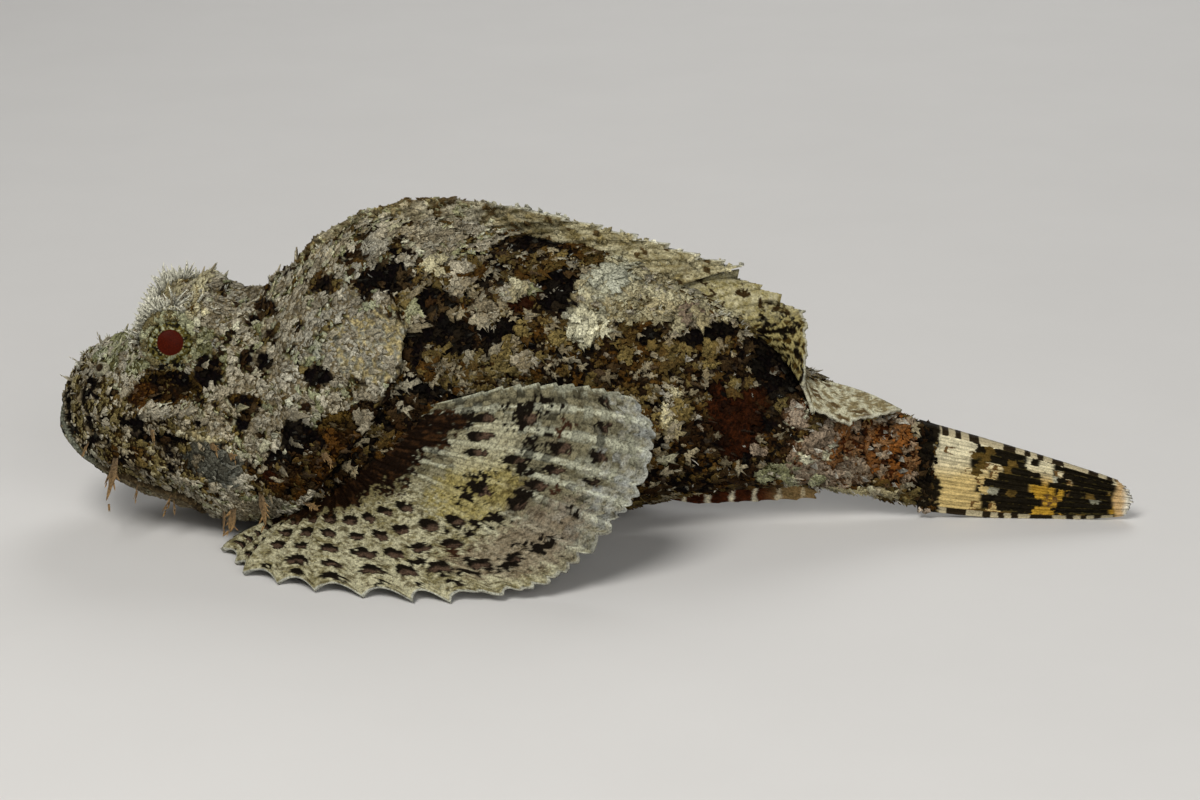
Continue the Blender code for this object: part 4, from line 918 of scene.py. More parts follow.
FLAP_OUTLINE = ((0.0, 0.55), (0.2, 0.8), (0.45, 1.0), (0.65, 0.85), (0.85, 0.6), (1.0, 0.12))
HAIR_OUTLINE = ((0.0, 1.0), (0.4, 0.8), (0.75, 0.5), (1.0, 0.08))
SPINE_OUTLINE = ((0.0, 1.3), (0.15, 1.0), (0.55, 0.55), (1.0, 0.06))
TOOTH_OUTLINE = ((0.0, 1.0), (0.3, 0.85), (0.65, 0.5), (1.0, 0.05))

# Spines of the head: place on the skin, way they point, length
HEAD_SPINES = (
    (-120.5, 6, 48, 0.6, 0.2, 1, 2.6), (-112.5, 12, 57, 0.5, 0.2, 1, 2.8),
    (-101, 12.5, 60.5, 0.5, 0.2, 1, 2), (-98, 12, 60, 0.6, 0.2, 1, 2.2), (-92.5, 11, 61, 0.6, 0.1, 1, 2),
    (-86, 8.5, 66, 0.6, 0.1, 1, 2.4), (-77.5, 1.2, 69, 0.1, 0.1, 1, 3.4), (-79, 9, 69, 0.8, 0.1, 0.8, 2.8),
    (-112, 21, 33.5, 1, 0.9, 0.2, 2.8), (-100, 23.5, 35.5, 1, 0.9, 0.2, 2.8),
    (-88, 27.5, 37.5, 1, 0.8, 0.2, 3.4), (-74.5, 30.5, 36.5, 1, 0.5, 0.1, 5),
    (-74, 30.5, 30.5, 1, 0.6, -0.2, 3.6), (-77, 29.5, 24, 0.8, 0.6, -0.5, 3.2),
    (-80.5, 28, 17.5, 0.6, 0.6, -0.8, 3), (-57, 29, 58.5, 1, 0.3, 0.25, 3.6), (-56, 30.5, 48, 1, 0.4, 0, 3),
)
JAW_TOP = 30  # the flaps below this height are brown
# Flaps of skin on the head: place, way, length, width
HEAD_FLAPS = (
    (-119, 18.5, 22.5, -0.12, 0.4, -1, 11, 2.6), (-126, 15, 25, -0.3, 0.9, -0.7, 4.2, 1.8),
    (-89.5, 23.5, 12, -0.1, 0.3, -1, 6.4, 2.8), (-82.5, 27, 17.5, 0.2, 0.35, -1, 8.5, 2.4),
    (-93, 21.5, 9, 0.2, 0.6, -1, 4.6, 2), (-104.5, 13.5, 61.5, 0.2, 0.5, 1, 3.6, 1.4),
    (-126, 10.5, 44, -0.7, 0.5, 0.9, 3, 1.6), (-97, 20.5, 46, 0.7, 0.9, 0.3, 4, 2),
    (-131.5, 7, 38.5, -1, 0.4, 0.4, 2.4, 1.6), (-68, 30, 28, 0.9, 0.7, -0.6, 4.6, 2.2),
    (-86, 25, 47, 1, 0.8, -0.2, 4, 2.2), (-68, 28.5, 58, 1, 0.6, 0.4, 4.2, 2.2),
    (-66, 31, 42, 1, 0.7, -0.3, 4, 2.2), (-110, 21.5, 30, 0.6, 0.9, -0.7, 3.8, 1.8),
    (-96, 25.5, 28, 0.8, 0.9, -0.4, 4.4, 2.2), (-90.5, 25.5, 26.5, 0.9, 0.9, -0.3, 4.4, 2),
    (-76, 18, 64.5, 1, 0.6, 0.7, 3.8, 2), (-124, 13, 12, -0.3, 0.6, -1, 3.4, 1.8),
    (-116, 17.5, 10.5, 0, 0.7, -1, 4.2, 1.8), (-107.5, 18, 7.2, 0.2, 0.7, -0.9, 4.4, 1.6),
    (-106.5, 17.5, 9.5, -0.3, 0.8, -0.8, 5, 1.8), (-72, 27, 13, 0.9, 0.7, -0.2, 4.6, 2),
)
# Tufts of white fingers on brow and snout: place, length
BROW_TUFTS = (
    (-104, 12, 62, 5.4), (-106, 14, 61, 4), (-109, 13.5, 60, 4.2), (-111.5, 12.5, 58.5, 4.6),
    (-113, 12, 57, 4.8), (-113.5, 13, 54, 4.2), (-114.5, 11.5, 51, 4.6), (-98, 13, 60, 3),
    (-107.5, 12, 62, 3.8), (-117, 9, 50, 3.2), (-124.5, 8, 45.5, 2.4), (-129.5, 6, 41.5, 2.2),
    (-101, 15, 58, 3.2), (-110, 10, 60.5, 4.4), (-113.5, 10, 56, 4.2), (-116, 12, 48, 3),
    (-111, 14.5, 59, 5), (-112.5, 14, 57, 5.2), (-113.8, 13.5, 55.5, 5), (-114.2, 12.5, 53, 4.6),
    (-112, 11, 59.5, 6.4), (-112.5, 13, 59, 6.4), (-111, 12, 61, 6.2), (-113.5, 12, 57.5, 6),
    (-109.5, 15, 60, 4.6), (-107, 15.5, 60, 3.4), (-114.5, 14, 52, 3.8), (-115, 13, 50, 3.2),
    (-103.5, 15.5, 59.5, 3), (-110.5, 8.5, 58, 4.4), (-113, 8.5, 55, 4.2),
)
# Nostrils: place, radius, radius of the hole, height
NOSTRILS = (((-122.5, 11.0, 42.5), 2.2, 0.9, 1.1), ((-115.5, 14.5, 46.0), 1.6, 0.5, 0.8))


class Skin:
    """A fine map of the body, to find the place nearest to a point."""

    def __init__(self):
        stations, angles = np.linspace(SNOUT_X, TAIL_BASE_X, 300), np.linspace(0, TURN, 240)
        self.station, self.angle = (grid.ravel() for grid in np.meshgrid(stations, angles))
        self.points = body_points(self.station, self.angle, -COAT_DEPTH)

    def nearest(self, spots, weights=(1, 1, 1)):
        """The places on the body nearest to spots, by squared distances with weights."""
        found = np.array([(((self.points - spot) * weights) ** 2).sum(-1).argmin() for spot in spots])
        return body_places(self.station[found], self.angle[found])


def both_sides(rows):
    """Rows of a place, a way and sizes, mirrored to the left side and then as they are."""
    rows = np.array(rows, float)
    mirrored = rows.copy()
    mirrored[:, 1:5:3] *= -1
    return np.concatenate([mirrored, rows])


def fringe(places, ways, lengths, widths, low, high, draw, fingers=6):
    """A ragged flap as a leaf and the fingers that branch from its sides and tip."""
    count, ways = len(lengths), unit(ways)
    curl = draw.uniform(0.02, 0.2, count)
    lots = [(blades(places, ways, lengths, widths, 0.25, curl, FLAP_OUTLINE, draw), low, high, places.bake)]
    across = unit(np.cross(ways, places.normal))
    for _ in range(fingers):
        t = draw.uniform(0.25, 0.98, count)
        side = np.where(draw.random(count) < 0.5, -1, 1)
        start = places.point + ways * (lengths * t)[:, None] + across * (side * widths * 0.3)[:, None]
        start += places.normal * (curl * lengths * t**2)[:, None]
        aim = ways + across * (side * draw.uniform(0.3, 1.1, count))[:, None]
        aim += places.normal * draw.uniform(-0.2, 0.5, count)[:, None]
        size = np.clip(lengths * draw.uniform(0.16, 0.34, count), 0.7, 2.0)
        bend = draw.uniform(-0.2, 0.3, count)
        hair = blades(places._replace(point=start), aim, size, size * 0.28, 0.7, bend, HAIR_OUTLINE)
        lots.append((hair, high * 0.9, high * 1.4, places.bake))
    return lots


def tufts(places, lengths, tint, draw, fingers=5):
    """Fans of fingers from each place, spread in a plane that is turned at random."""
    count = len(lengths)
    turn = draw.uniform(0, TURN, (count, 1))
    plane = np.cos(turn) * places.along + np.sin(turn) * np.cross(places.normal, places.along)
    lean = places.normal + 0.2 * places.along + draw.normal(0, 0.25, (count, 3))
    lots = []
    for k in np.linspace(-1, 1, fingers):
        aim = lean + plane * (0.6 * k + draw.normal(0, 0.15, (count, 1)))
        size = lengths * draw.uniform(0.6, 1.1, count) * (1 - 0.3 * abs(k))
        start = places._replace(point=places.point - 0.3 * places.normal + 0.1 * lengths[:, None] * k * plane)
        width = np.clip(size * 0.3, 0.35, 1.1)
        finger = blades(start, aim, size, width, 0.7, draw.uniform(-0.3, 0.3, count), HAIR_OUTLINE, draw)
        lots.append((finger, tint * 0.5, tint * 1.35, places.bake))
    return lots


def make_head_flaps(skin, finish):
    """The named flaps of the head and jaw, on both sides, brown under the jaw and pale above it."""
    draw = default_rng(51)
    flaps = both_sides(HEAD_FLAPS)
    places = skin.nearest(flaps[:, :3]).moved(-0.5)
    below = (places.point[:, 2] < JAW_TOP)[:, None]
    low = np.where(below, (0.085, 0.06, 0.034), (0.2, 0.17, 0.11))
    high = np.where(below, (0.22, 0.135, 0.055), (0.34, 0.31, 0.22))
    lots = fringe(places, flaps[:, 3:6], flaps[:, 6] + 0.7, flaps[:, 7] * 0.7, low, high, draw)
    blade_piece("head_flaps", lots, finish)


def make_spines(skin, finish):
    """The bony spines of the head, each a broad cone with a flared foot."""
    spines = both_sides(HEAD_SPINES)
    places = skin.nearest(spines[:, :3]).moved(-0.9)
    way = unit(spines[:, 3:6]) + 0.35 * places.normal
    length = spines[:, 6] + 1.2
    cones = blades(places, way, length, 0.36 * length + 0.4, 0.7, -0.06, SPINE_OUTLINE)
    own_tint = coat_tint(places.point, kinds_at(places.point), default_rng(55))
    tint = 0.4 * own_tint + (0.12, 0.105, 0.07)
    blade_piece("head_spines", [(cones, tint * 0.6, tint * 1.4, places.bake)], finish)


def make_small_flaps(finish):
    """Ragged flaps strewn over the body, which point back and out, and pale triangular ones low on
    the flank and on the stem."""
    draw = default_rng(52)
    places, kinds = skin_places(GILL_X + 2, TAIL_BASE_X - 3, 4.6, draw)
    here = places.point
    keep = (here[:, 2] > 5) & ~((here[:, 0] > 4) & (here[:, 2] < 11)) & (draw.random(len(here)) < 0.5)
    places, kinds = places.where(keep).moved(-0.4), kinds[keep]
    count = len(kinds)
    way = places.along + places.normal * draw.uniform(0.2, 0.7, (count, 1)) + draw.normal(0, 0.3, (count, 3))
    way[:, 2] -= 0.2
    length = draw.uniform(1.6, 3.2, count)
    tint = 0.6 * coat_tint(places.point, kinds, draw) + 0.4 * np.array((0.36, 0.33, 0.24))
    lots = fringe(places, way, length, length * 0.5, tint * 0.6, tint * 1.1, draw, fingers=4)
    places, kinds = skin_places(2, TAIL_BASE_X - 1, 3.0, draw)
    here = places.point
    belly, back = belly_at(here[:, 0]), back_at(here[:, 0])
    low = 1 - ramp(0.25, 0.75, (here[:, 2] - belly) / (back - belly))
    chosen = draw.random(len(here)) < 0.1 + 0.14 * low * (here[:, 0] > 14) + 0.36 * (here[:, 0] > 46)
    places = places.where(chosen & (KIND_COVER[kinds] > 0.5)).moved(-0.35)
    count = len(places.point)
    way = places.along + places.normal * draw.uniform(0.25, 0.9, (count, 1))
    way += draw.normal(0, 0.45, (count, 3))
    length = draw.uniform(1.4, 3.2, count)
    bend = draw.uniform(-0.2, 0.3, count)
    teeth = blades(places, way, length, length * 0.75, 0.14, bend, TOOTH_OUTLINE, draw)
    tint = np.array((0.46, 0.43, 0.35)) * draw.uniform(0.35, 1.15, (count, 1))
    lots.append((teeth, tint * 0.75, tint * 1.15, places.bake))
    blade_piece("body_flaps", lots, finish)


def make_shreds(finish):
    """Pale upright shreds of skin over head and body, each a ragged flake with a high tilt."""
    draw = default_rng(56)
    places, kinds = skin_places(SNOUT_X + 4, TAIL_BASE_X - 3, 3.4, draw)
    places, kinds = places.where(places.point[:, 2] > 4), kinds[places.point[:, 2] > 4]
    lean = places.normal + places.along * draw.uniform(0.2, 1.6, (len(kinds), 1))
    tilted = places._replace(normal=unit(lean + draw.normal(0, 0.5, lean.shape))).moved(0.25)
    radius = draw.uniform(0.5, 1.25, len(kinds))
    bright = np.clip(KIND_COLOURS[kinds, 0, 1] * 6, 0.12, 0.85)[:, None]
    pale = KIND_COLOURS[kinds, 0] * 0.7 + np.array((0.15, 0.14, 0.105)) * bright
    tint = pale * draw.uniform(0.6, 1.15, (len(kinds), 1))
    lift = draw.uniform(0.2, 0.6, len(kinds))
    flakes("skin_shreds", tilted, radius, lift, 0.5, tint, finish, draw, rim=11)


def make_hairs(skin, finish):
    """White tufts on brow and snout, and smaller ones along nape and back and over the body."""
    draw = default_rng(53)
    brow_tufts = both_sides(BROW_TUFTS)
    places = skin.nearest(brow_tufts[:, :3]).moved(0.2)
    tint = np.tile((0.42, 0.41, 0.33), (len(brow_tufts), 1))
    lots = tufts(places, brow_tufts[:, 3], tint, draw, fingers=7)
    places, kinds = skin_places(SNOUT_X + 3, TAIL_BASE_X - 6, 3.4, draw)
    here = places.point
    high = ramp(-14, -3, here[:, 2] - back_at(here[:, 0]))
    brow = np.exp(-(((here[:, 0] + 110) / 11) ** 2 + ((here[:, 2] - 57) / 8) ** 2))
    keep = (here[:, 2] > 8) & (draw.random(len(here)) < 0.12 + 0.4 * high + 0.7 * brow)
    places, kinds, high, brow = places.where(keep), kinds[keep], high[keep], brow[keep]
    length = draw.uniform(0.9, 1.7, len(kinds)) * (1 + 0.4 * high + 1.1 * brow)
    tint = 0.4 * KIND_COLOURS[kinds, 0] + 0.6 * np.array((0.5, 0.5, 0.42))
    lots += tufts(places, length, tint * draw.uniform(0.5, 1.1, (len(kinds), 1)), draw, fingers=4)
    blade_piece("skin_tufts", lots, finish)


# Nostrils, eyes and lids
# Painted shading of a nostril's profile, from its foot to its pit: dark at the foot and in the pit, where
# shade falls, and lightest near the dome's top, where light falls.
NOSTRIL_PAINTED_SHADING = (0.5, 0.5, 0.8, 1, 1.1, 1, 0.5, 0.3, 0.25)  # from a nostril's foot to its pit


def turned_about(axis):
    """Two directions square to an axis and to each other, the second one the more upright."""
    across = unit(np.cross((0, 0, 1), axis))
    over = np.cross(axis, across)
    return across, over if over[2] > 0 else -over


def revolve(centre, axis, profile, turns):
    """A surface of revolution: the profile's (radius, height) points turned about an axis."""
    axis = unit(axis)
    across, over = turned_about(axis)
    radius, height = np.array(profile, float).T
    turn = np.arange(turns) * TURN / turns
    ring = np.cos(turn)[:, None] * across + np.sin(turn)[:, None] * over
    return centre + radius[:, None, None] * ring[None] + height[:, None, None] * axis


def make_nostrils(skin, finish):
    """Each nostril is a low tube of smooth skin: a dome's profile that turns in to a pit, with painted shade,
    dark at its foot and in its pit, and lighter on top.
    """
    points, faces, tints, start = [], [], [], 0
    for spot, radius, hole, height in NOSTRILS:
        places = skin.nearest(both_sides([spot]))
        profile = (
            (0.2, -1.2), (radius, -0.8), (radius * 0.97, 0.1), (radius * 0.85, 0.6 * height),
            (radius * 0.62, 0.95 * height), (hole * 1.35, height), (hole, 0.8 * height), (hole * 0.9, 0.1),
            (0.05, -0.1),
        )
        for here, out in zip(places.point, places.normal):
            shape = revolve(here, out, profile, 32)
            shape += 0.4 * soft_noise(shape, 0.9, 8)[..., None] * out
            flat, quads = closed_tube(shape)
            # Painted shade and light: each ring takes the profile's shading, and turns dark brown where the
            # shading is below 0.55, at the foot and in the pit.
            shade = np.append(np.repeat(NOSTRIL_PAINTED_SHADING, 32), (0.5, 0.25))[:, None]
            tint = np.array((0.21, 0.195, 0.13)) * shade * (1 + 0.6 * soft_noise(flat, 0.8, 9)[:, None])
            points.append(flat)
            faces.append([rows + start for rows in quads])
            tints.append(np.where(shade < 0.55, (0.03, 0.017, 0.006), tint))
            start += len(flat)
    values = {"Tint": np.concatenate(tints), "Rim": np.zeros(start)}
    rows = [np.concatenate([f[k] for f in faces]) for k in (0, 1)]
    piece("nostrils", np.concatenate(points), rows, finish, values)


PUPIL_RADIUS = 3.1
LID_RADIUS, LID_HEIGHT, LID_FLAKES, LID_TUFTS = 6.1, 4.2, 420, 60


def eye_axis(side):
    """The middle of an eye and the way that it looks."""
    return np.array(EYE_MIDDLE) * (1, side, 1), unit(np.array(EYE_WAY) * (1, side, 1))


def make_eye(side, finish):
    """An eyeball: rings at angles from its axis, with a flat dark red pupil, a ring of pale dots
    round it and an iris of green, olive and black streaks."""
    centre, axis = eye_axis(side)
    edge = math.asin(PUPIL_RADIUS / EYE_RADIUS)
    inner = np.append(np.linspace(0.02, edge - 0.012, 14), [edge, edge + 0.018, edge + 0.05, edge + 0.075])
    rings = np.concatenate([inner, np.linspace(edge + 0.1, 1.25, 40), np.linspace(1.3, math.pi - 0.03, 16)])
    turns = 160
    shape = revolve(centre, axis, EYE_RADIUS * together(np.sin(rings), np.cos(rings)), turns)
    from_axis, turn = np.meshgrid(rings, np.arange(turns) * TURN / turns, indexing="ij")
    ray = together(np.cos(turn) * 3, np.sin(turn) * 3, 0.7 * from_axis)
    streak = two_noises(ray, 0.42, 0.6, 0.17, 3)
    blotch = two_noises(shape, 1.3, 0.9, 0.5, 5) + 0.5 * streak
    green, olive, dark = (0.21, 0.22, 0.14), (0.085, 0.07, 0.016), (0.01, 0.008, 0.003)
    tint = painted(blotch > 0.55, green, painted(blotch > -0.2, olive, dark))
    tint = tint * np.clip(1 + 0.7 * streak, 0.3, 1.9)[..., None]
    dots = (np.abs(from_axis - edge - 0.045) < 0.02) & (np.sin(turn * 26) > 0.35)
    tint[dots] = (0.27, 0.245, 0.14)
    red = (0.046, 0.0042, 0.0005)
    tint[from_axis < edge + 0.005] = red
    points, faces = closed_tube(shape - 0.1 * axis * (from_axis < edge - 0.001)[..., None])
    tint = np.concatenate([tint.reshape(-1, 3), [red, (0.02, 0.02, 0.01)]])
    name = "eye_left" if side < 0 else "eye_right"
    piece(f"{name}_ball", points, faces, finish, {"Tint": tint}, stands_for=(name,))


def lid_ring(side, turn, slice_angle):
    """Points and outward normals of the ring of skin about an eye's opening, thicker above."""
    centre, axis = eye_axis(side)
    across, over = turned_about(axis)
    upper = ramp(-0.2, 0.8, np.sin(turn))
    thick = 0.85 + 0.45 * upper
    ring = np.cos(turn)[..., None] * across + np.sin(turn)[..., None] * over
    normal = np.cos(slice_angle)[..., None] * ring + np.sin(slice_angle)[..., None] * axis
    core = centre + LID_RADIUS * ring + (LID_HEIGHT + 0.5 * upper)[..., None] * axis
    return core + thick[..., None] * normal, normal


def lid_tint(points):
    """Olive with pale green and black blotches, and paler above and behind the eye."""
    blotch = two_noises(points, 2.6, 0.6, 1, 32)
    blotch += 0.7 * ramp(51, 55, points[..., 2]) + 0.5 * ramp(-102, -99, points[..., 0])
    pale, olive, dark = KIND_COLOURS[[kind_number(n) for n in ("sage", "olive", "black")], 0]
    return painted(blotch > 0.5, pale, painted(blotch > -0.25, olive * 0.6, dark))


def make_lids(skin_finish, flake_finish, flap_finish):
    """The lids of both eyes: a ring of skin, small flakes all over it, and fingers at its edge."""
    draw = default_rng(54)
    points, faces, lots, start = [], [], [], 0
    around, section = 120, 14
    grids = np.arange(around) * TURN / around, np.arange(section) * TURN / section
    turn, slice_angle = np.meshgrid(*grids, indexing="ij")
    flake_places = []
    for side in SIDES:
        shape, normal = lid_ring(side, turn, slice_angle)
        flat = (shape + 0.25 * soft_noise(shape, 0.9, 31)[..., None] * normal).reshape(-1, 3)
        quads = grid_faces(around, section, wrap_columns=True, wrap_rows=True)
        faces.append(faced_out(flat - flat.mean(0), [quads])[0] + start)
        points.append(flat)
        start += len(flat)
        where = draw.uniform(0, TURN, LID_FLAKES)
        here, out = lid_ring(side, where, draw.uniform(-0.4, 2.4, LID_FLAKES))
        bake = (0.14, 0.5 - 0.25 * side) + 0.02 * together(np.cos(where), np.sin(where))
        along = unit(np.cross(out, (0.3, 0.1, 1.0)))
        flake_places.append(Places(here, out, along, bake))
        here, out = lid_ring(side, where[:LID_TUFTS], draw.uniform(0.8, 2.6, LID_TUFTS))
        fingers = Places(here, out, along[:LID_TUFTS], bake[:LID_TUFTS])
        tint = lid_tint(here) * 0.5 + np.array((0.2, 0.21, 0.15))
        lots += tufts(fingers, draw.uniform(0.7, 1.3, LID_TUFTS), tint, draw, fingers=3)
    flat = np.concatenate(points)
    values = {"Tint": lid_tint(flat) * 0.6}
    piece("eyelids", flat, [np.concatenate(faces)], skin_finish, values)
    places = Places(*(np.concatenate(fields) for fields in zip(*flake_places)))
    tint = lid_tint(places.point) * draw.uniform(0.6, 1.3, (len(places.point), 1))
    radius, lift = draw.uniform(0.3, 0.75, len(tint)), draw.uniform(0.2, 0.5, len(tint))
    flakes("eyelid_flakes", places, radius, lift, 0.3, tint, flake_finish, draw)
    blade_piece("eyelid_fingers", lots, flap_finish)


# Fins
def saw(x):
    """The part of a number above the whole one below it."""
    return x - np.floor(x)


def between(across):
    """0 on a ray, 1 midway between two, and a parabola from one to the other."""
    return 4 * saw(across) * (1 - saw(across))


def behind_ray(across):
    """1 just behind a ray, falling in a straight line to 0 at the next one, and 0 on the ray itself."""
    return (1 - saw(across)) * (saw(across) > 0.03)


def ray_ridge(across, width):
    """1 on a ray and 0 from about width gaps beside it."""
    return np.exp(-((np.abs(across - np.round(across)) / width) ** 4))


def fin_grid(rays, columns, rows):
    """Places across a fin, counted in rays with columns for each gap, and shares of their length."""
    return np.linspace(0, rays - 1, (rays - 1) * columns + 1), np.linspace(0, 1, rows)


def fan(roots, tips, bow, across, along, margin):
    """The middle surface of a fin, (columns, rows, 3).

    Ray i is a quadratic curve from its root to its tip that bows by half of bow. Between two rays
    the surface is the mean of both curves weighted by place. The margin is the share of their
    length that it reaches; the shortfall grows with the cube of the place along the ray.
    """
    roots, tips, bow = (np.asarray(v, float) for v in (roots, tips, bow))
    bend = (roots + tips) / 2 + np.broadcast_to(bow, roots.shape)
    ray = np.clip(np.floor(across).astype(int), 0, len(roots) - 2)
    share = (across - ray)[:, None, None]
    t = (along[None, :] * (1 - (1 - margin[:, None]) * along[None, :] ** 3))[..., None]

    def curve(i):
        """Points of ray i."""
        return (1 - t) ** 2 * roots[i, None] + 2 * t * (1 - t) * bend[i, None] + t**2 * tips[i, None]

    return (1 - share) * curve(ray) + share * curve(ray + 1)


def fin_piece(name, middle, thick, tint, finish, node, pleat=0.0, on_floor=False):
    """A closed sheet about a middle surface: both faces stand half the thickness off it. It gives
    back the two faces, (2, columns, rows, 3)."""
    columns, rows = middle.shape[:2]
    normal = surface_normals(middle)
    middle = middle + normal * np.broadcast_to(pleat, (columns, rows))[..., None]
    points = np.stack([middle + normal * thick[..., None] / 2, middle - normal * thick[..., None] / 2])
    if on_floor:
        lift = np.clip(0.15 - points[..., 2].min(axis=0), 0, None)
        points[..., 2] = np.maximum(points[..., 2] + lift / 2, 0.1)
    size, last = columns * rows, (columns - 1) * rows
    front = grid_faces(columns, rows)
    i, j = np.arange(columns - 1) * rows, np.arange(rows - 1)
    edges = ((i + rows, i), (i + rows - 1, i + 2 * rows - 1), (j, j + 1), (last + j + 1, last + j))
    rim = [together(b, a, a + size, b + size) for a, b in edges]
    flat = points.reshape(-1, 3)
    faces = faced_out(flat - flat.mean(0), [np.concatenate([front, front[:, ::-1] + size, *rim])])
    values = {"Tint": np.tile(tint.reshape(-1, 3), (2, 1))}
    piece(name, flat, faces, finish, values, stands_for=(node,))
    return points


def paired_fin(kind, side, middle, thick, tint, finish, pleat=0.0):
    """A spotted fin that lies on the floor, mirrored to its side from a middle surface on the left."""
    where = "left" if side < 0 else "right"
    middle[..., 1] *= -side
    node = f"{kind}_fin_{where}"
    fin_piece(f"{kind}_{where}", middle, thick, tint, finish, node, pleat, True)


def crust_fin(name, faces, tint, share, spacing, radii, finish, draw):
    """Flakes on both faces of a fin in its own colours, at places drawn from its grid, as many as
    the share that each place has of its area over the square of the spacing."""
    out = unit(faces[0] - faces[1])
    along = unit(np.gradient(faces[0], axis=1))
    area = np.linalg.norm(np.cross(np.gradient(faces[0], axis=0), np.gradient(faces[0], axis=1)), axis=-1)
    fields = []
    for face, sign in zip(faces, (1, -1)):
        chosen = draw.random(area.shape) < share * area / spacing**2
        run = (face[chosen][:, 0] - SNOUT_X) / (TAIL_BASE_X - SNOUT_X)
        bake = together(np.clip(run, 0.01, 0.99), 0.5 + 0.48 * sign)
        fields.append((face[chosen], sign * out[chosen], along[chosen], bake, tint[chosen]))
    *places, colours = (np.concatenate(field) for field in zip(*fields))
    radius = draw.uniform(*radii, len(colours))
    colours = colours * draw.uniform(0.7, 1.35, (len(colours), 1))
    lift = draw.uniform(0.15, 0.5, len(colours))
    flakes(name, Places(*places), radius, lift, 0.35, colours, finish, draw)


def through(table, places):
    """Places on the smooth curve through the points of a table: place, x, y, z."""
    table = np.array(table, float)
    return np.stack([smooth_curve(table[:, (0, k)])(places) for k in (1, 2, 3)], axis=-1)


PECTORAL_ROOTS = ((0, -70, -17.5, 6.5), (0.5, -60, -23.5, 19), (1, -48, -24, 34))
PECTORAL_TIPS = (
    (-91, -21, 0.9), (-92.5, -27.5, 0.6), (-88.5, -36, 0.5), (-85.5, -43.5, 0.5), (-77, -49.5, 0.5),
    (-67.5, -54.5, 0.5), (-56, -58.5, 0.5), (-44, -61.5, 0.5), (-35, -62, 0.5), (-24, -61, 0.8),
    (-13.5, -60, 2.4), (-6, -58, 4.6), (0, -55.5, 8.5), (5.5, -53, 15.5), (9, -51.5, 20), (12.5, -50, 24),
    (15.5, -46, 31), (14.5, -41.5, 37), (10.5, -37, 41.5),
)
PECTORAL_BOW = ((0, -1, -2, 3), (0.3, -4, -5, 5), (0.6, -2, -7, 5), (0.85, 1, -6, 8), (1, 5, -4, 13))
PECTORAL_COLUMNS, PECTORAL_ROWS = 12, 200  # columns for each gap between rays
# Where the dark base ends, partly the fleshy base's own colour and partly painted shade of the fin's curved
# inner part: ray, share of its length
BASE_EDGE = (
    (0, 0.5), (2, 0.42), (4.6, 0.33), (7.7, 0.26), (10.3, 0.23), (14.5, 0.24), (16.4, 0.26), (17.2, 0.16),
    (18, 0.02),
)
# Blotches of the pectoral fin: colour, ray, share of its length, half size in each
PECTORAL_BLOTCHES = (
    ("yellow", 12.4, 0.46, 2.2, 0.15), ("light", 14.8, 0.38, 1.8, 0.12), ("dusky", 11, 0.8, 2.4, 0.14),
    ("black", 17, 0.5, 0.55, 0.12), ("black", 16.3, 0.25, 0.8, 0.08), ("black", 16.2, 0.45, 0.4, 0.05),
    ("brown", 16.2, 0.64, 0.4, 0.04), ("black", 15.4, 0.56, 0.7, 0.05), ("black", 14.2, 0.56, 0.5, 0.07),
    ("black", 12.5, 0.46, 1, 0.07), ("black", 10.4, 0.57, 0.8, 0.06), ("black", 11.6, 0.62, 0.6, 0.05),
    ("black", 8.8, 0.84, 0.5, 0.04), ("black", 8.1, 0.74, 0.5, 0.04), ("black", 11.5, 0.84, 0.6, 0.04),
    ("black", 11.1, 0.77, 0.4, 0.03), ("black", 10, 0.84, 0.5, 0.04), ("black", 12.7, 0.82, 0.5, 0.04),
    ("black", 12.8, 0.63, 0.4, 0.04), ("brown", 13.6, 0.72, 0.4, 0.03), ("brown", 9.2, 0.68, 0.5, 0.04),
)
FIN_COLOURS = {
    "light": (0.43, 0.405, 0.26), "middle": (0.17, 0.145, 0.065), "pale ray": (0.4, 0.4, 0.29),
    "membrane": (0.15, 0.135, 0.08), "yellow": (0.33, 0.27, 0.08), "black": (0.006, 0.004, 0.002),
    "brown": (0.035, 0.015, 0.007), "pink": (0.08, 0.05, 0.032), "rust": (0.034, 0.015, 0.005),
    # The base colour is the near black of the pectoral's base: partly its own colour and partly painted
    # shade.
    "base": (0.007, 0.003, 0.001), "rim": (0.42, 0.44, 0.41), "dusky": (0.19, 0.145, 0.1),
}


def rows_of_spots(u, v, grain):
    """How far a place lies inside its spot, 1 in the middle and 0 at the edge: spots stand between
    rays in rows across the fin, in more rows at its first rays. Also the place along the spot."""
    rows = np.where(u < 3, 9.0, 6.6)
    row = (v - 0.27) * rows + 0.12 * np.sin(1.7 * np.floor(u))
    luck = chance(together(np.floor(u), np.floor(row), 0), 45)
    aside = (saw(u) - 0.5) / (0.28 + 0.1 * luck)
    ahead = (saw(row) - 0.5) / (0.25 + 0.13 * luck)
    inside = 1 - (aside**2 + ahead**2 + 0.6 * grain)
    kept = luck < 0.97 - 0.45 * ramp(8.0, 11, u) - 0.25 * ramp(15, 17, u)
    inside = inside - 0.55 * ramp(9, 12, u) * ramp(0.55, 0.85, v)
    inside = inside - ramp(0.9, 0.96, v)
    return np.where(kept & (row > 0), inside, -1), ahead


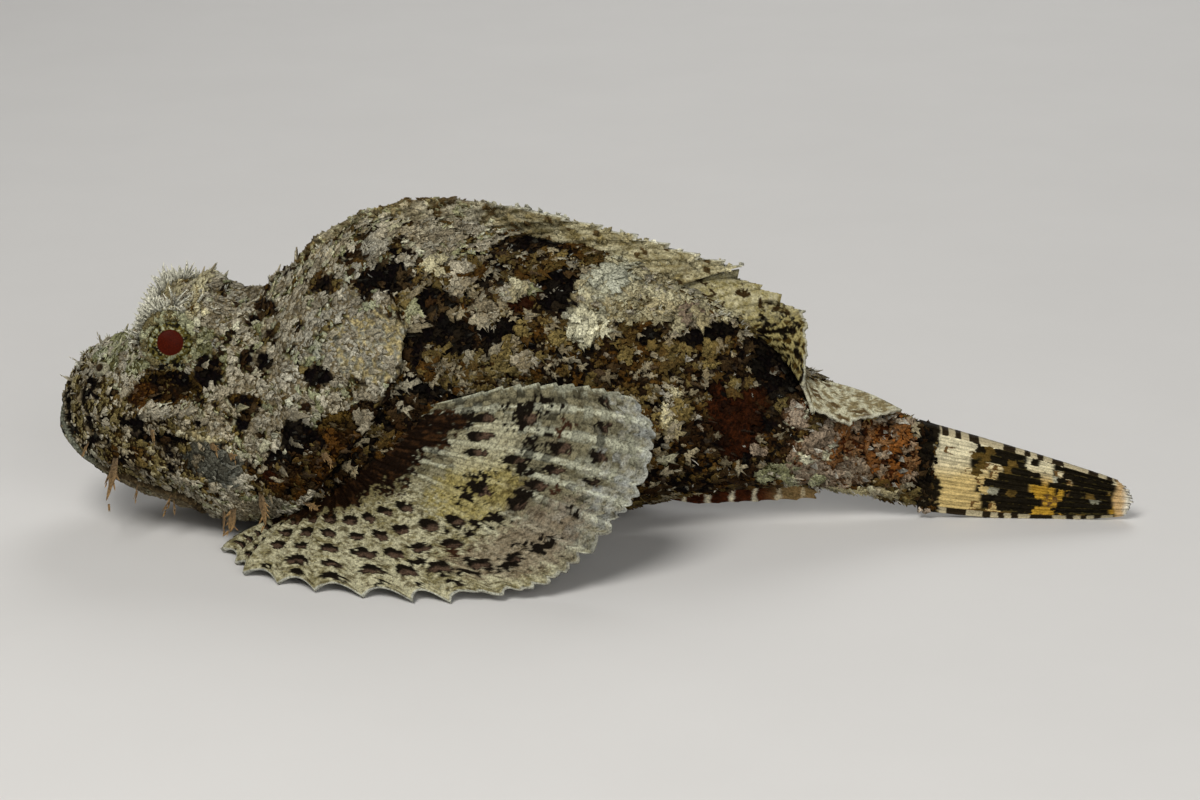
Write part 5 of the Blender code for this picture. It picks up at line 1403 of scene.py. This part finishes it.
def pectoral_colours(across, along, points):
    """Colours over the pectoral fin: cream with rows of spots below, pale rays with dark membranes
    above, yellow and light blotches, a lace of dark specks, joints, black blotches that break up
    along the joints, a dark base, partly the fleshy base's own colour and partly painted shade, and a pale
    rim."""
    u, v = np.broadcast_arrays(across[:, None], along[None, :])
    grain = two_noises(points, 0.9, 0.7, 0.45, 41)
    drift = two_noises(points, 8, 0.6, 3, 43)
    mix = ramp(-0.7, 0.5, drift * 0.5 + 0.8 * grain)
    lower = blend(mix, FIN_COLOURS["middle"], FIN_COLOURS["light"])
    block = np.floor(3 * u + 0.5)
    joint = v * 30 + 7 * chance(together(block, 0, 0), 65)
    cell = together(block, np.floor(joint), 0)
    luck = chance(cell, 62)
    valley = ramp(0.35, 0.75, between(u) + 0.8 * (luck - 0.5) + 0.1 * grain)
    upper = blend(valley, FIN_COLOURS["pale ray"], FIN_COLOURS["membrane"])
    upper = upper * ((0.6 + 0.7 * luck) * (1 - 0.6 * (chance(cell, 66) < 0.16)))[..., None]
    upper = blend(0.35 * ramp(0.3, 0.8, drift), upper, FIN_COLOURS["pink"])
    colour = blend(ramp(9.5, 13.5, u + 0.7 * drift), lower, upper)
    for name, ray, share, half_ray, half_share in PECTORAL_BLOTCHES[:3]:
        away = ((u - ray) / half_ray) ** 2 + ((v - share) / half_share) ** 2
        colour = blend(0.65 * ramp(1.4, 0.5, away + 0.5 * grain), colour, FIN_COLOURS[name])
    lace = ramp(0.3, 0.62, two_noises(points, 0.8, 0.5, 0.4, 49) + 0.25 * drift)
    lace = lace * (0.85 - 0.2 * ramp(10, 13, u))
    colour = blend(lace, colour, colour * np.array((0.22, 0.18, 0.12)))
    line = ray_ridge(3 * u + 0.5, 0.2) * ramp(8, 11, u)
    shade = 0.66 + 0.4 * ramp(0.0, 0.25, saw(joint) + 0.15 * grain)
    colour = colour * (shade * (1 - 0.28 * line))[..., None]
    lobe = ramp(0.8, 0.96, v + 0.25 * (luck - 0.5)) * ramp(11, 14, u)
    colour = blend((0.3 + 0.3 * grain) * lobe, colour, FIN_COLOURS["rim"])
    inside, ahead = rows_of_spots(u, v, grain)
    fill = ramp(-0.2, 0.3, ahead + 0.3 * grain)
    fill = blend(fill, FIN_COLOURS["black"], FIN_COLOURS["pink"])
    fill = blend(0.9 * ramp(0.55, 0.2, inside), fill, FIN_COLOURS["black"])
    colour = painted(inside > 0, fill, colour)
    for name, ray, share, half_ray, half_share in PECTORAL_BLOTCHES[3:]:
        away = ((u - ray) / half_ray) ** 2 + ((v - share) / half_share) ** 2
        marked = away + 1.2 * grain + 1.6 * chance(cell, 64) < 1.05
        colour = painted(marked & (away < 1.4), FIN_COLOURS[name], colour)
    # Painted shade on the dark base: near black with rust streaks, partly the fleshy base's own colour and
    # partly the shade of the fin's curved inner part.
    edge = np.interp(u, *np.array(BASE_EDGE).T) + 0.06 * drift + 0.06 * grain
    streak = soft_noise(together(5 * u, 22 * v, 0), 1.0, 63) + 0.6 * grain
    dark = ramp(-0.1, 0.7, streak + 0.4 * drift)
    dark = blend(dark, FIN_COLOURS["base"], FIN_COLOURS["rust"])
    colour = blend(1 - ramp(-0.015, 0.015, v - edge), colour, dark)
    edge = ramp(0.98, 0.99, v + 0.006 * grain) * (1 - 0.6 * ramp(9, 12, u))
    return blend(0.55 * edge, colour, FIN_COLOURS["rim"])


def make_pectoral(side, finish):
    """A fan of ridged, jointed rays: below, the margin is pointed with smooth arcs between; above,
    it is frayed into lobes, and the top ray's edge is stepped."""
    rays = len(PECTORAL_TIPS)
    across, along = fin_grid(rays, PECTORAL_COLUMNS, PECTORAL_ROWS)
    along = along**0.92
    places = np.linspace(0, 1, rays)
    frayed = ramp(7.9, 9.2, across)
    gap = between(across)
    row = together(across * 6, 0, 0)
    lobes = 0.026 * (1 - np.abs(np.sin(TURN * across + 0.8 * np.sin(2.3 * across)))) ** 1.5
    lobes = lobes + 0.022 * (1 + soft_noise(row, 2.6, 60)) + 0.012 * (1 + soft_noise(row, 1.0, 61))
    margin = 1 - 0.085 * gap * (1 - frayed) - lobes * frayed
    roots, bow = through(PECTORAL_ROOTS, places), through(PECTORAL_BOW, places)
    middle = fan(roots, PECTORAL_TIPS, bow, across, along, margin)
    step = saw(along * 13) * ramp(0.2, 0.4, along)
    outward_way = unit(middle[-1] - middle[-PECTORAL_COLUMNS])
    near_top = ramp(17.3, 18, across)[:, None, None]
    middle = middle + near_top * (step[:, None] * outward_way)[None]
    tint = pectoral_colours(across, along, middle)
    u, v = np.broadcast_arrays(across[:, None], along[None, :])
    joint = 0.4 * saw(v * 26 + 0.5 * np.floor(2 * u)) * ramp(0.2, 0.35, v)
    flatter = 1 - 0.5 * ramp(9, 12, u)
    thick = 0.6 + ray_ridge(u, 0.22) * (1.25 - 0.6 * v + joint) * flatter + 0.25 * ray_ridge(2 * u, 0.25)
    thick = thick + 0.08 * soft_noise(middle, 1.3, 46) + 0.06 * soft_noise(middle, 0.6, 47)
    thick = thick + 3.4 * np.exp(-((v / 0.16) ** 2))
    thick = np.clip(thick * (1 - 0.45 * ramp(0.93, 1.0, v)), 0.3, None)
    pleat = 0.25 * np.cos(math.pi * u) * ramp(0.3, 0.6, v) * (2 * flatter - 1)
    paired_fin("pectoral", side, middle, thick, tint, finish, pleat)


PELVIC_ROOTS = ((0, -63, -16.5, 3.2), (1, -57, -11, 2.2))
PELVIC_TIPS = ((0, -45, -33, 0.6), (0.3, -33, -36, 0.6), (0.65, -24, -30, 0.6), (1, -22, -22, 0.6))


def make_pelvic(side, finish):
    """A small fan of six rays on the floor beside the belly."""
    rays = 6
    across, along = fin_grid(rays, 10, 80)
    places = np.linspace(0, 1, rays)
    margin = 1 - 0.1 * between(across)
    roots, tips = through(PELVIC_ROOTS, places), through(PELVIC_TIPS, places)
    middle = fan(roots, tips, (0, -2.5, -0.4), across, along, margin)
    tint = pectoral_colours(across + 4, 0.3 + 0.7 * along, middle)
    thick = 0.55 + ray_ridge(across, 0.25)[:, None] * (1.2 - 0.6 * along)[None, :]
    paired_fin("pelvic", side, middle, thick, tint, finish)


# Spines of the back: where each one's root and tip lie along the fish
BACK_SPINES = (
    (-78, -70), (-71, -58), (-63.5, -46), (-56, -35), (-48, -25.5), (-39.5, -17), (-30.5, -8), (-21.5, 1),
    (-12.5, 9.5), (-4, 17.5), (4.5, 25), (13, 31), (20.5, 35.6),
)


def crest_at(x):
    """Height of the skin's top line, which leans back with the gill covers."""
    crest = body_points(np.linspace(SNOUT_X, TAIL_BASE_X, 300), 0.0, -COAT_DEPTH)
    return np.interp(x, crest[:, 0], crest[:, 2])


def back_fin_colours(points):
    """Colours of the folded back fin: those of the back it lies on, and more cream with brown
    dashes behind."""
    flat = points.reshape(-1, 3)
    grain = soft_noise(flat * (0.4, 1, 1), 0.9, 47) + 0.6 * soft_noise(flat, 0.5, 48)
    kinds = kinds_at(flat - np.array([0, 0, 3.0]))
    coat = coat_tint(flat, kinds, default_rng(63)) * (1 + 0.3 * grain[:, None])
    cream = blend(0.5 + 0.8 * grain, (0.2, 0.16, 0.065), (0.46, 0.42, 0.26))
    share = ramp(-34, 0, flat[:, 0] + 8 * soft_noise(flat, 5.0, 49))
    tint = blend(0.25 + 0.6 * share, coat, cream)
    cell = np.floor(together(flat[:, 0] / 1.7, (flat[:, 2] + 0.3 * flat[:, 0]) / 1.3, 0))
    dash = chance(cell, 50) + 0.1 * grain > 0.86
    tint[dash] = np.array((0.07, 0.045, 0.016)) * (1 + 0.5 * grain[dash, None])
    return tint.reshape(points.shape)


def make_spiny_fin(finish, flake_finish):
    """The folded fin of the back spines: pleated skin between ridged spines, low in front where
    flakes cover it like the back, and with a step down behind each spine's tip."""
    root_x, tip_x = np.array(BACK_SPINES, float).T
    rise = np.interp(tip_x, (-70, -58, -46), (0.5, 0.8, 1))
    tip_z = crest_at(tip_x) + (fold_at(tip_x) - crest_at(tip_x)) * rise
    roots = together(root_x - 2.5, 0, crest_at(root_x - 2.5) - 2.0)
    tips = together(tip_x, 0, tip_z)
    across, along = fin_grid(len(tips), 14, 80)
    ragged = default_rng(64).random(len(across))
    margin = 1 - 0.05 * behind_ray(across) - 0.012 * ragged
    middle = fan(roots, tips, (0, 0, 0.6), across, along, margin)
    drop = 1.1 * behind_ray(across) * ramp(4, 8, across)
    middle[..., 2] -= drop[:, None] * along**3
    ridge = ray_ridge(across, 0.2)[:, None]
    thick = 0.7 + ridge * (1.2 - 0.6 * along)[None, :] + 0.3 * soft_noise(middle, 1.4, 51)
    thick = thick + 3.5 * ramp(-48, -66, middle[..., 0]) * (1.1 - along)[None, :]
    pleat = (0.4 * np.cos(math.pi * across) + 0.25 * np.sin(3 * math.pi * across))[:, None]
    pleat = pleat * ramp(0.2, 0.9, along)[None, :]
    tint = back_fin_colours(middle)
    rim = ramp(0.93, 0.98, along)[None, :] * ramp(2.5, 6, across)[:, None]
    tint = blend(0.8 * rim, tint, (0.58, 0.57, 0.45))
    thick = np.clip(thick, 0.35, None)
    faces = fin_piece("spiny_back_fin", middle, thick, tint, finish, "dorsal_fin_spiny", pleat)
    share = 1.0 - 0.65 * ramp(-46, -10, middle[..., 0])
    draw = default_rng(65)
    crust_fin("back_fin_flakes", faces, tint, share, 0.95, (0.35, 0.95), flake_finish, draw)


# Rays of the soft back fin: root, tip and bow, without the root's and the bow's zeros
SOFT_RAYS = (
    (17.5, 59, 35, 0, 64.3, 0, 1.4), (24, 56.5, 40.3, 0, 60.2, 0, 0.5), (28.5, 54, 45.5, -0.3, 58.2, 0, 0.5),
    (33, 51, 51, -1.5, 54.2, 0, 0.8), (37, 48.5, 51.8, -4.5, 50.6, 0, 1.4),
    (41, 45.5, 51.3, -8.5, 44.6, -0.8, 2.4), (45, 42, 50.6, -11.5, 37.6, -1.8, 3.2),
    (48.5, 39, 52.4, -12.8, 30.6, -2.2, 3.4), (51.5, 37, 62.5, -12, 27.4, -1.8, 3.2),
    (54.5, 35, 75, -7, 29.6, -0.8, 2.4),
)


def soft_fin_colours(u, v, points):
    """Cream in front, then a dark sail with olive lines along its rays, then cream with rows of
    brown dashes where the fin flops over, and a white margin."""
    grain = two_noises(points, 0.9, 0.6, 0.45, 52)
    blotch = two_noises(points, 3.6, 0.8, 1.8, 54) + 0.5 * grain
    _, crack, _ = pebbles(points, 2.4, 70)
    lines = ramp(0.3, 0.8, 0.35 + 0.3 * np.cos(4 * math.pi * u) + 0.6 * grain + 0.5 * (crack < 0.16))
    cream = blend(0.5 + 0.6 * grain, (0.26, 0.22, 0.09), (0.5, 0.46, 0.29))
    cream = blend(ramp(0.45, 0.6, blotch), cream, (0.035, 0.02, 0.006))
    olive = blend(lines, (0.055, 0.033, 0.006), (0.29, 0.245, 0.1))
    streak = soft_noise(together(5 * u, 16 * v, 0), 1.0, 74) + 0.45 * blotch
    sail = blend(ramp(-0.3, 0.15, streak - 0.35 * lines), olive, (0.005, 0.003, 0.001))
    strip = np.floor(2 * u)
    row = v * 10 + 5 * chance(together(strip, 0, 0), 72) + 0.3 * grain
    luck = chance(together(strip, np.floor(row), 0), 73)
    dashes = (luck < 0.26) & (saw(row) > 0.2) & (saw(2 * u) + 0.2 * grain > 0.35)
    flop = blend(lines + 0.3 * grain, (0.2, 0.16, 0.08), (0.48, 0.46, 0.32))
    flop = painted(dashes, (0.1, 0.066, 0.028), flop)
    tint = blend(ramp(2.6, 3.6, u + 0.8 * grain), cream, sail)
    tint = blend(ramp(6.1, 6.8, u + 0.3 * grain), tint, flop)
    rim = ramp(0.94, 0.975, v + 0.02 * grain) * ramp(2, 3, u)
    return blend(0.6 * rim, tint, (0.5, 0.49, 0.38))


def make_soft_fin(finish):
    """The soft back fin: a low sail in front that flops over the stem behind, with a white fringe."""
    root_x, root_z, *tip, bow_y, bow_z = np.array(SOFT_RAYS, float).T
    roots, tips, bow = together(root_x, 0, root_z), together(*tip), together(0, bow_y, bow_z)
    across, along = fin_grid(len(tips), 16, 120)
    ragged = default_rng(66).random(len(across))
    margin = 1 - 0.06 * behind_ray(across) - 0.04 * ragged
    middle = fan(roots, tips, bow, across, along, margin)
    u, v = np.broadcast_arrays(across[:, None], along[None, :])
    drop = np.interp(np.floor(across), (0, 1, 2, 3), (2.2, 0.8, 2.6, 0)) * behind_ray(across)
    middle[..., 2] -= drop[:, None] * along**3
    thick = 0.55 + ray_ridge(u, 0.2) * (0.9 - 0.4 * v) + 0.3 * ray_ridge(2 * u, 0.3)
    thick = np.clip(thick + 0.2 * soft_noise(middle, 1.3, 56), 0.35, None)
    pleat = 0.3 * np.cos(math.pi * u) * ramp(0.2, 0.8, v)
    middle[..., 1] += 0.7 * (1 - ramp(0.5, 2.0, u))
    tint = soft_fin_colours(u, v, middle)
    # Painted shade: the fin's front edge, its first three columns, is darkened to 0.4 of its colour.
    tint[:3] *= 0.4
    fin_piece("soft_back_fin", middle, thick, tint, finish, "dorsal_fin_soft", pleat)


ANAL_RAYS = 8


def make_anal_fin(finish):
    """The folded fin under the stem: red-brown with pale strips across it."""
    root_x, tip_x = np.linspace(9, 33, ANAL_RAYS), np.append(np.linspace(25, 54.5, ANAL_RAYS - 1), 55.5)
    roots = together(root_x, 0, belly_at(root_x) + 3)
    tips = together(tip_x, -1, np.append(np.linspace(3.3, 4.8, ANAL_RAYS - 1), 6.8))
    bow = np.linspace(-0.6, 2.2, ANAL_RAYS)[:, None] * (0, 0, 1)
    across, along = fin_grid(ANAL_RAYS, 12, 80)
    middle = fan(roots, tips, bow, across, along, 1 - 0.04 * between(across))
    middle[..., 1] += tail_bend_at(middle[..., 0])
    grain = soft_noise(middle, 1.0, 57)
    strip = np.abs((middle[..., 0] + 0.6 * grain) % 6.0 - 3.0) < 0.55
    tint = blend(0.5 + grain, (0.075, 0.02, 0.006), (0.03, 0.009, 0.003))
    tint = painted(strip, (0.7, 0.64, 0.46), tint)
    tint = blend(0.6 * ramp(40, 48, middle[..., 0]), tint, (0.34, 0.24, 0.1))
    thick = 0.9 + 0.9 * ray_ridge(across, 0.2)[:, None] * (1 - 0.4 * along)[None, :]
    pleat = (0.35 * np.cos(math.pi * across))[:, None] * np.ones(80)
    fin_piece("anal_fin_skin", middle, thick, tint, finish, "anal_fin", pleat)


CAUDAL_RAYS = 13
# Heights of the lowest and the highest ray: root, tip and bow
CAUDAL_HEIGHTS = ((2.4, 25), (1.2, 10.2), (-3.8, 1))
# Dark bands of the tail fin: where each begins and ends
CAUDAL_BANDS = ((96.6, 108.6), (114.6, 130.0))


def caudal_colours(u, points):
    """Bands across the tail fin: a black bar at the root, cream with brown marks, dark squares with
    cream between, yellow, dark again, and an orange edge that turns white."""
    x = points[..., 0]
    grain = soft_noise(points * (0.6, 1, 1), 0.8, 58) + 0.6 * soft_noise(points, 0.4, 59)
    drift = soft_noise(points * (0.7, 1, 1), 3.2, 60)
    height = u / (CAUDAL_RAYS - 1)
    light = ramp(0.4, 0.85, height + 0.1 * drift)
    cream = blend(light, (0.56, 0.42, 0.17), (0.66, 0.6, 0.4))
    yellow = blend(ramp(0.5, 0.85, height), (0.4, 0.23, 0.025), (0.64, 0.58, 0.38))
    colour = blend(ramp(105, 109, x), cream, yellow)
    line = 1 - 0.35 * ramp(0.2, 0.8, np.abs(np.cos(TURN * u)) ** 6 - 0.5 * grain)
    colour = colour * (line * (1 + 0.14 * grain))[..., None]
    band = u * 0.8 + 0.15 * grain
    place = x / 2.3 + 0.5 * (np.floor(band) % 2) + 0.25 * grain
    luck = chance(together(np.floor(place), np.floor(band), 0), 61)
    mark = (luck < 0.04 + 0.24 * ramp(89, 96, x)) & (x > 86) & (between(band) > 0.35)
    mark = mark & ((saw(place) < 0.4) | (between(band) < 0.7))
    colour = painted(mark, (0.12, 0.065, 0.02), colour)
    ragged = 1.6 * drift + 9.0 * (luck - 0.5)
    bands = np.zeros_like(x)
    for start, end in CAUDAL_BANDS:
        begun = ramp(-0.5, 0.5, x - start + ragged)
        bands = np.maximum(bands, begun * ramp(0.5, -0.5, x - end + 0.6 * ragged))
    dark = painted(luck > 0.9, (0.09, 0.055, 0.012), (0.007, 0.005, 0.002))
    dark = painted((luck > 0.62) & (luck < 0.66) & (height > 0.3), (0.26, 0.25, 0.18), dark)
    dark = painted(between(band) + 0.5 * grain < 0.12, (0.06, 0.045, 0.012), dark)
    colour = blend(bands, colour, dark * (1 + 0.5 * grain[..., None]))
    border = ((height > 0.94) | (height < 0.08)) & (x > 85) & (x < 129)
    bar = np.sin(x * 1.2 + 2.5 * np.sin(0.31 * x + 4 * (height > 0.5))) > 0.1
    colour = painted(border & bar, (0.02, 0.013, 0.006), colour)
    colour = painted(border & ~bar, (0.44, 0.38, 0.24), colour)
    root = ramp(85.2, 84.2, x + 2.2 * drift + 0.8 * grain)
    colour = blend(root, colour, (0.01, 0.007, 0.003))
    rim = ramp(128.8, 130.2, x + 0.9 * drift)
    edge = blend(ramp(130.6, 132.6, x + 0.4 * grain), (0.55, 0.38, 0.18), (0.72, 0.69, 0.58))
    return blend(rim, colour, edge)


def make_tail_fin(finish, flake_finish):
    """The closed tail fin: fine ray ridges that run together at the tip, and flakes at its root."""
    places = np.linspace(0, 1, CAUDAL_RAYS)
    root_z, tip_z, bow_z = (np.linspace(*ends, CAUDAL_RAYS) for ends in CAUDAL_HEIGHTS)
    roots = together(TAIL_BASE_X - 2, 0, root_z)
    tips = together(TAIL_TIP_X - 2.4 * (2 * places - 0.8) ** 2, 0, tip_z)
    bow = together(0, 0, bow_z)
    across, along = fin_grid(CAUDAL_RAYS, 16, 180)
    ragged = default_rng(62).uniform(0, 1, len(across))
    margin = 1 - 0.015 * between(across) - 0.022 * ragged
    middle = fan(roots, tips, bow, across, along, margin)
    middle[..., 1] += tail_bend_at(middle[..., 0])
    u, v = np.broadcast_arrays(across[:, None], along[None, :])
    tint = caudal_colours(u, middle)
    side = np.linspace(-1, 1, len(across))
    rounding = 0.35 + 0.65 * np.sqrt(np.clip(1 - side**2, 0.12, 1))[:, None]
    thick = (1.6 + 0.45 * ray_ridge(u, 0.3) + 0.25 * ray_ridge(2 * u, 0.3) + 5.4 * (1 - v) ** 4) * rounding
    thick = thick + 0.22 * saw(v * 24 + 0.5 * (np.floor(2 * u) % 2)) * ramp(0.05, 0.15, v)
    thick = (thick + 0.16 * soft_noise(middle, 1.1, 67)) * (1 - 0.35 * ramp(0.9, 1.0, v))
    pleat = 0.2 * v * np.cos(math.pi * u)
    faces = fin_piece("tail_fin_skin", middle, thick, tint, finish, "caudal_fin", pleat, True)
    russet = coat_tint(middle.reshape(-1, 3), kinds_at(middle.reshape(-1, 3)), default_rng(68))
    share = ramp(84.8, 82.6, middle[..., 0])
    draw = default_rng(69)
    crust = russet.reshape(middle.shape)
    crust_fin("tail_root_flakes", faces, crust, share, 0.9, (0.4, 1.0), flake_finish, draw)


# Stage
CAMERA_ELEVATION, CAMERA_DISTANCE, CAMERA_LENS = 18.0, 833.0, 100.0
LOOK_AT = (0, 0, 30.5)
FLOOR_REACH, FLOOR_FRONT, WALL_HEIGHT, CURVE_START, CURVE_RADIUS = 4000, -3000, 3000, 900, 700


def make_camera():
    """The photo's view: level with the fish's side, a little above the floor."""
    data = bpy.data.cameras.new("camera")
    data.lens, data.sensor_width = CAMERA_LENS, 36.0
    data.clip_start, data.clip_end = 0.01, 20
    camera = bpy.data.objects.new("camera", data)
    stage.collection.objects.link(camera)
    rise = math.radians(CAMERA_ELEVATION)
    back = Vector((0, -math.cos(rise), math.sin(rise)))
    camera.location = (Vector(LOOK_AT) + back * CAMERA_DISTANCE) * MM
    camera.rotation_euler = (-back).to_track_quat("-Z", "Y").to_euler()
    stage.camera = camera


def make_light(name, place, size, power, colour):
    """A round soft light that shines on the fish."""
    data = bpy.data.lights.new(name, "AREA")
    data.shape, data.size, data.energy, data.color = "DISK", size, power, colour
    light = bpy.data.objects.new(name, data)
    stage.collection.objects.link(light)
    light.location = place
    light.rotation_euler = (Vector((0, 0, 0.03)) - Vector(place)).to_track_quat("-Z", "Y").to_euler()


def make_floor():
    """A plain pale floor that curves up behind."""
    across = np.array([-FLOOR_REACH, FLOOR_REACH])
    turn = np.linspace(0, math.pi / 2, 13)
    y = np.array([FLOOR_FRONT, *(CURVE_START + CURVE_RADIUS * np.sin(turn)), CURVE_START + CURVE_RADIUS])
    z = np.array([0, *(CURVE_RADIUS * (1 - np.cos(turn))), WALL_HEIGHT])
    points = together(across[:, None], y, z)
    mesh = bpy.data.meshes.new("floor")
    mesh.from_pydata((points.reshape(-1, 3) * MM).tolist(), [], grid_faces(2, len(y))[:, ::-1].tolist())
    mesh.shade_smooth()
    w = Wiring("pale floor")
    colour = w.mix(w.noise(60.0), (0.66, 0.65, 0.63, 1), (0.7, 0.69, 0.67, 1))
    mesh.materials.append(w.finish(colour, 0.9, 0.2))
    floor = bpy.data.objects.new("floor", mesh)
    stage.collection.objects.link(floor)


def make_light_and_air():
    """A key light above and in front, a soft fill, a light behind, and a dim even sky."""
    make_light("key", (-0.35, -0.7, 1.0), 0.6, 10.5, (1.0, 0.98, 0.95))
    make_light("fill", (0.5, -1.1, 0.45), 0.9, 6.0, (1.0, 0.99, 0.97))
    make_light("back", (0.2, 0.9, 0.9), 0.7, 4.6, (1.0, 1.0, 1.0))
    world = stage.world or bpy.data.worlds.new("world")
    stage.world = world
    world.use_nodes = True
    world.node_tree.nodes["Background"].inputs["Color"].default_value = (0.96, 0.97, 1.0, 1)
    world.node_tree.nodes["Background"].inputs["Strength"].default_value = 0.12
    stage.view_settings.view_transform = "Standard"


def build():
    """The finishes, the pieces and the stage."""
    skin_finish, flake_finish, flap_finish = skin_material(), flake_material(), flap_material()
    spotted_fin = fin_material("spotted fin", 0.5, 0.25, 0.45)
    back_fin = fin_material("back fin", 0.5, 0.25, 0.4)
    tail_fin = fin_material("banded tail fin", 0.4, 0.15, 0.25)
    skin = Skin()
    make_skin(skin_finish)
    make_flakes(flake_finish)
    make_fronds(skin, flake_finish)
    make_shreds(flake_finish)
    make_head_flaps(skin, flap_finish)
    make_spines(skin, flap_finish)
    make_small_flaps(flap_finish)
    make_hairs(skin, flap_finish)
    make_nostrils(skin, flap_finish)
    eye = eye_material()
    for side in SIDES:
        make_eye(side, eye)
        make_pectoral(side, spotted_fin)
        make_pelvic(side, spotted_fin)
    make_lids(skin_finish, flake_finish, flap_finish)
    make_spiny_fin(back_fin, flake_finish)
    make_soft_fin(back_fin)
    make_anal_fin(back_fin)
    make_tail_fin(tail_fin, flake_finish)
    make_camera()
    make_floor()
    make_light_and_air()


build()
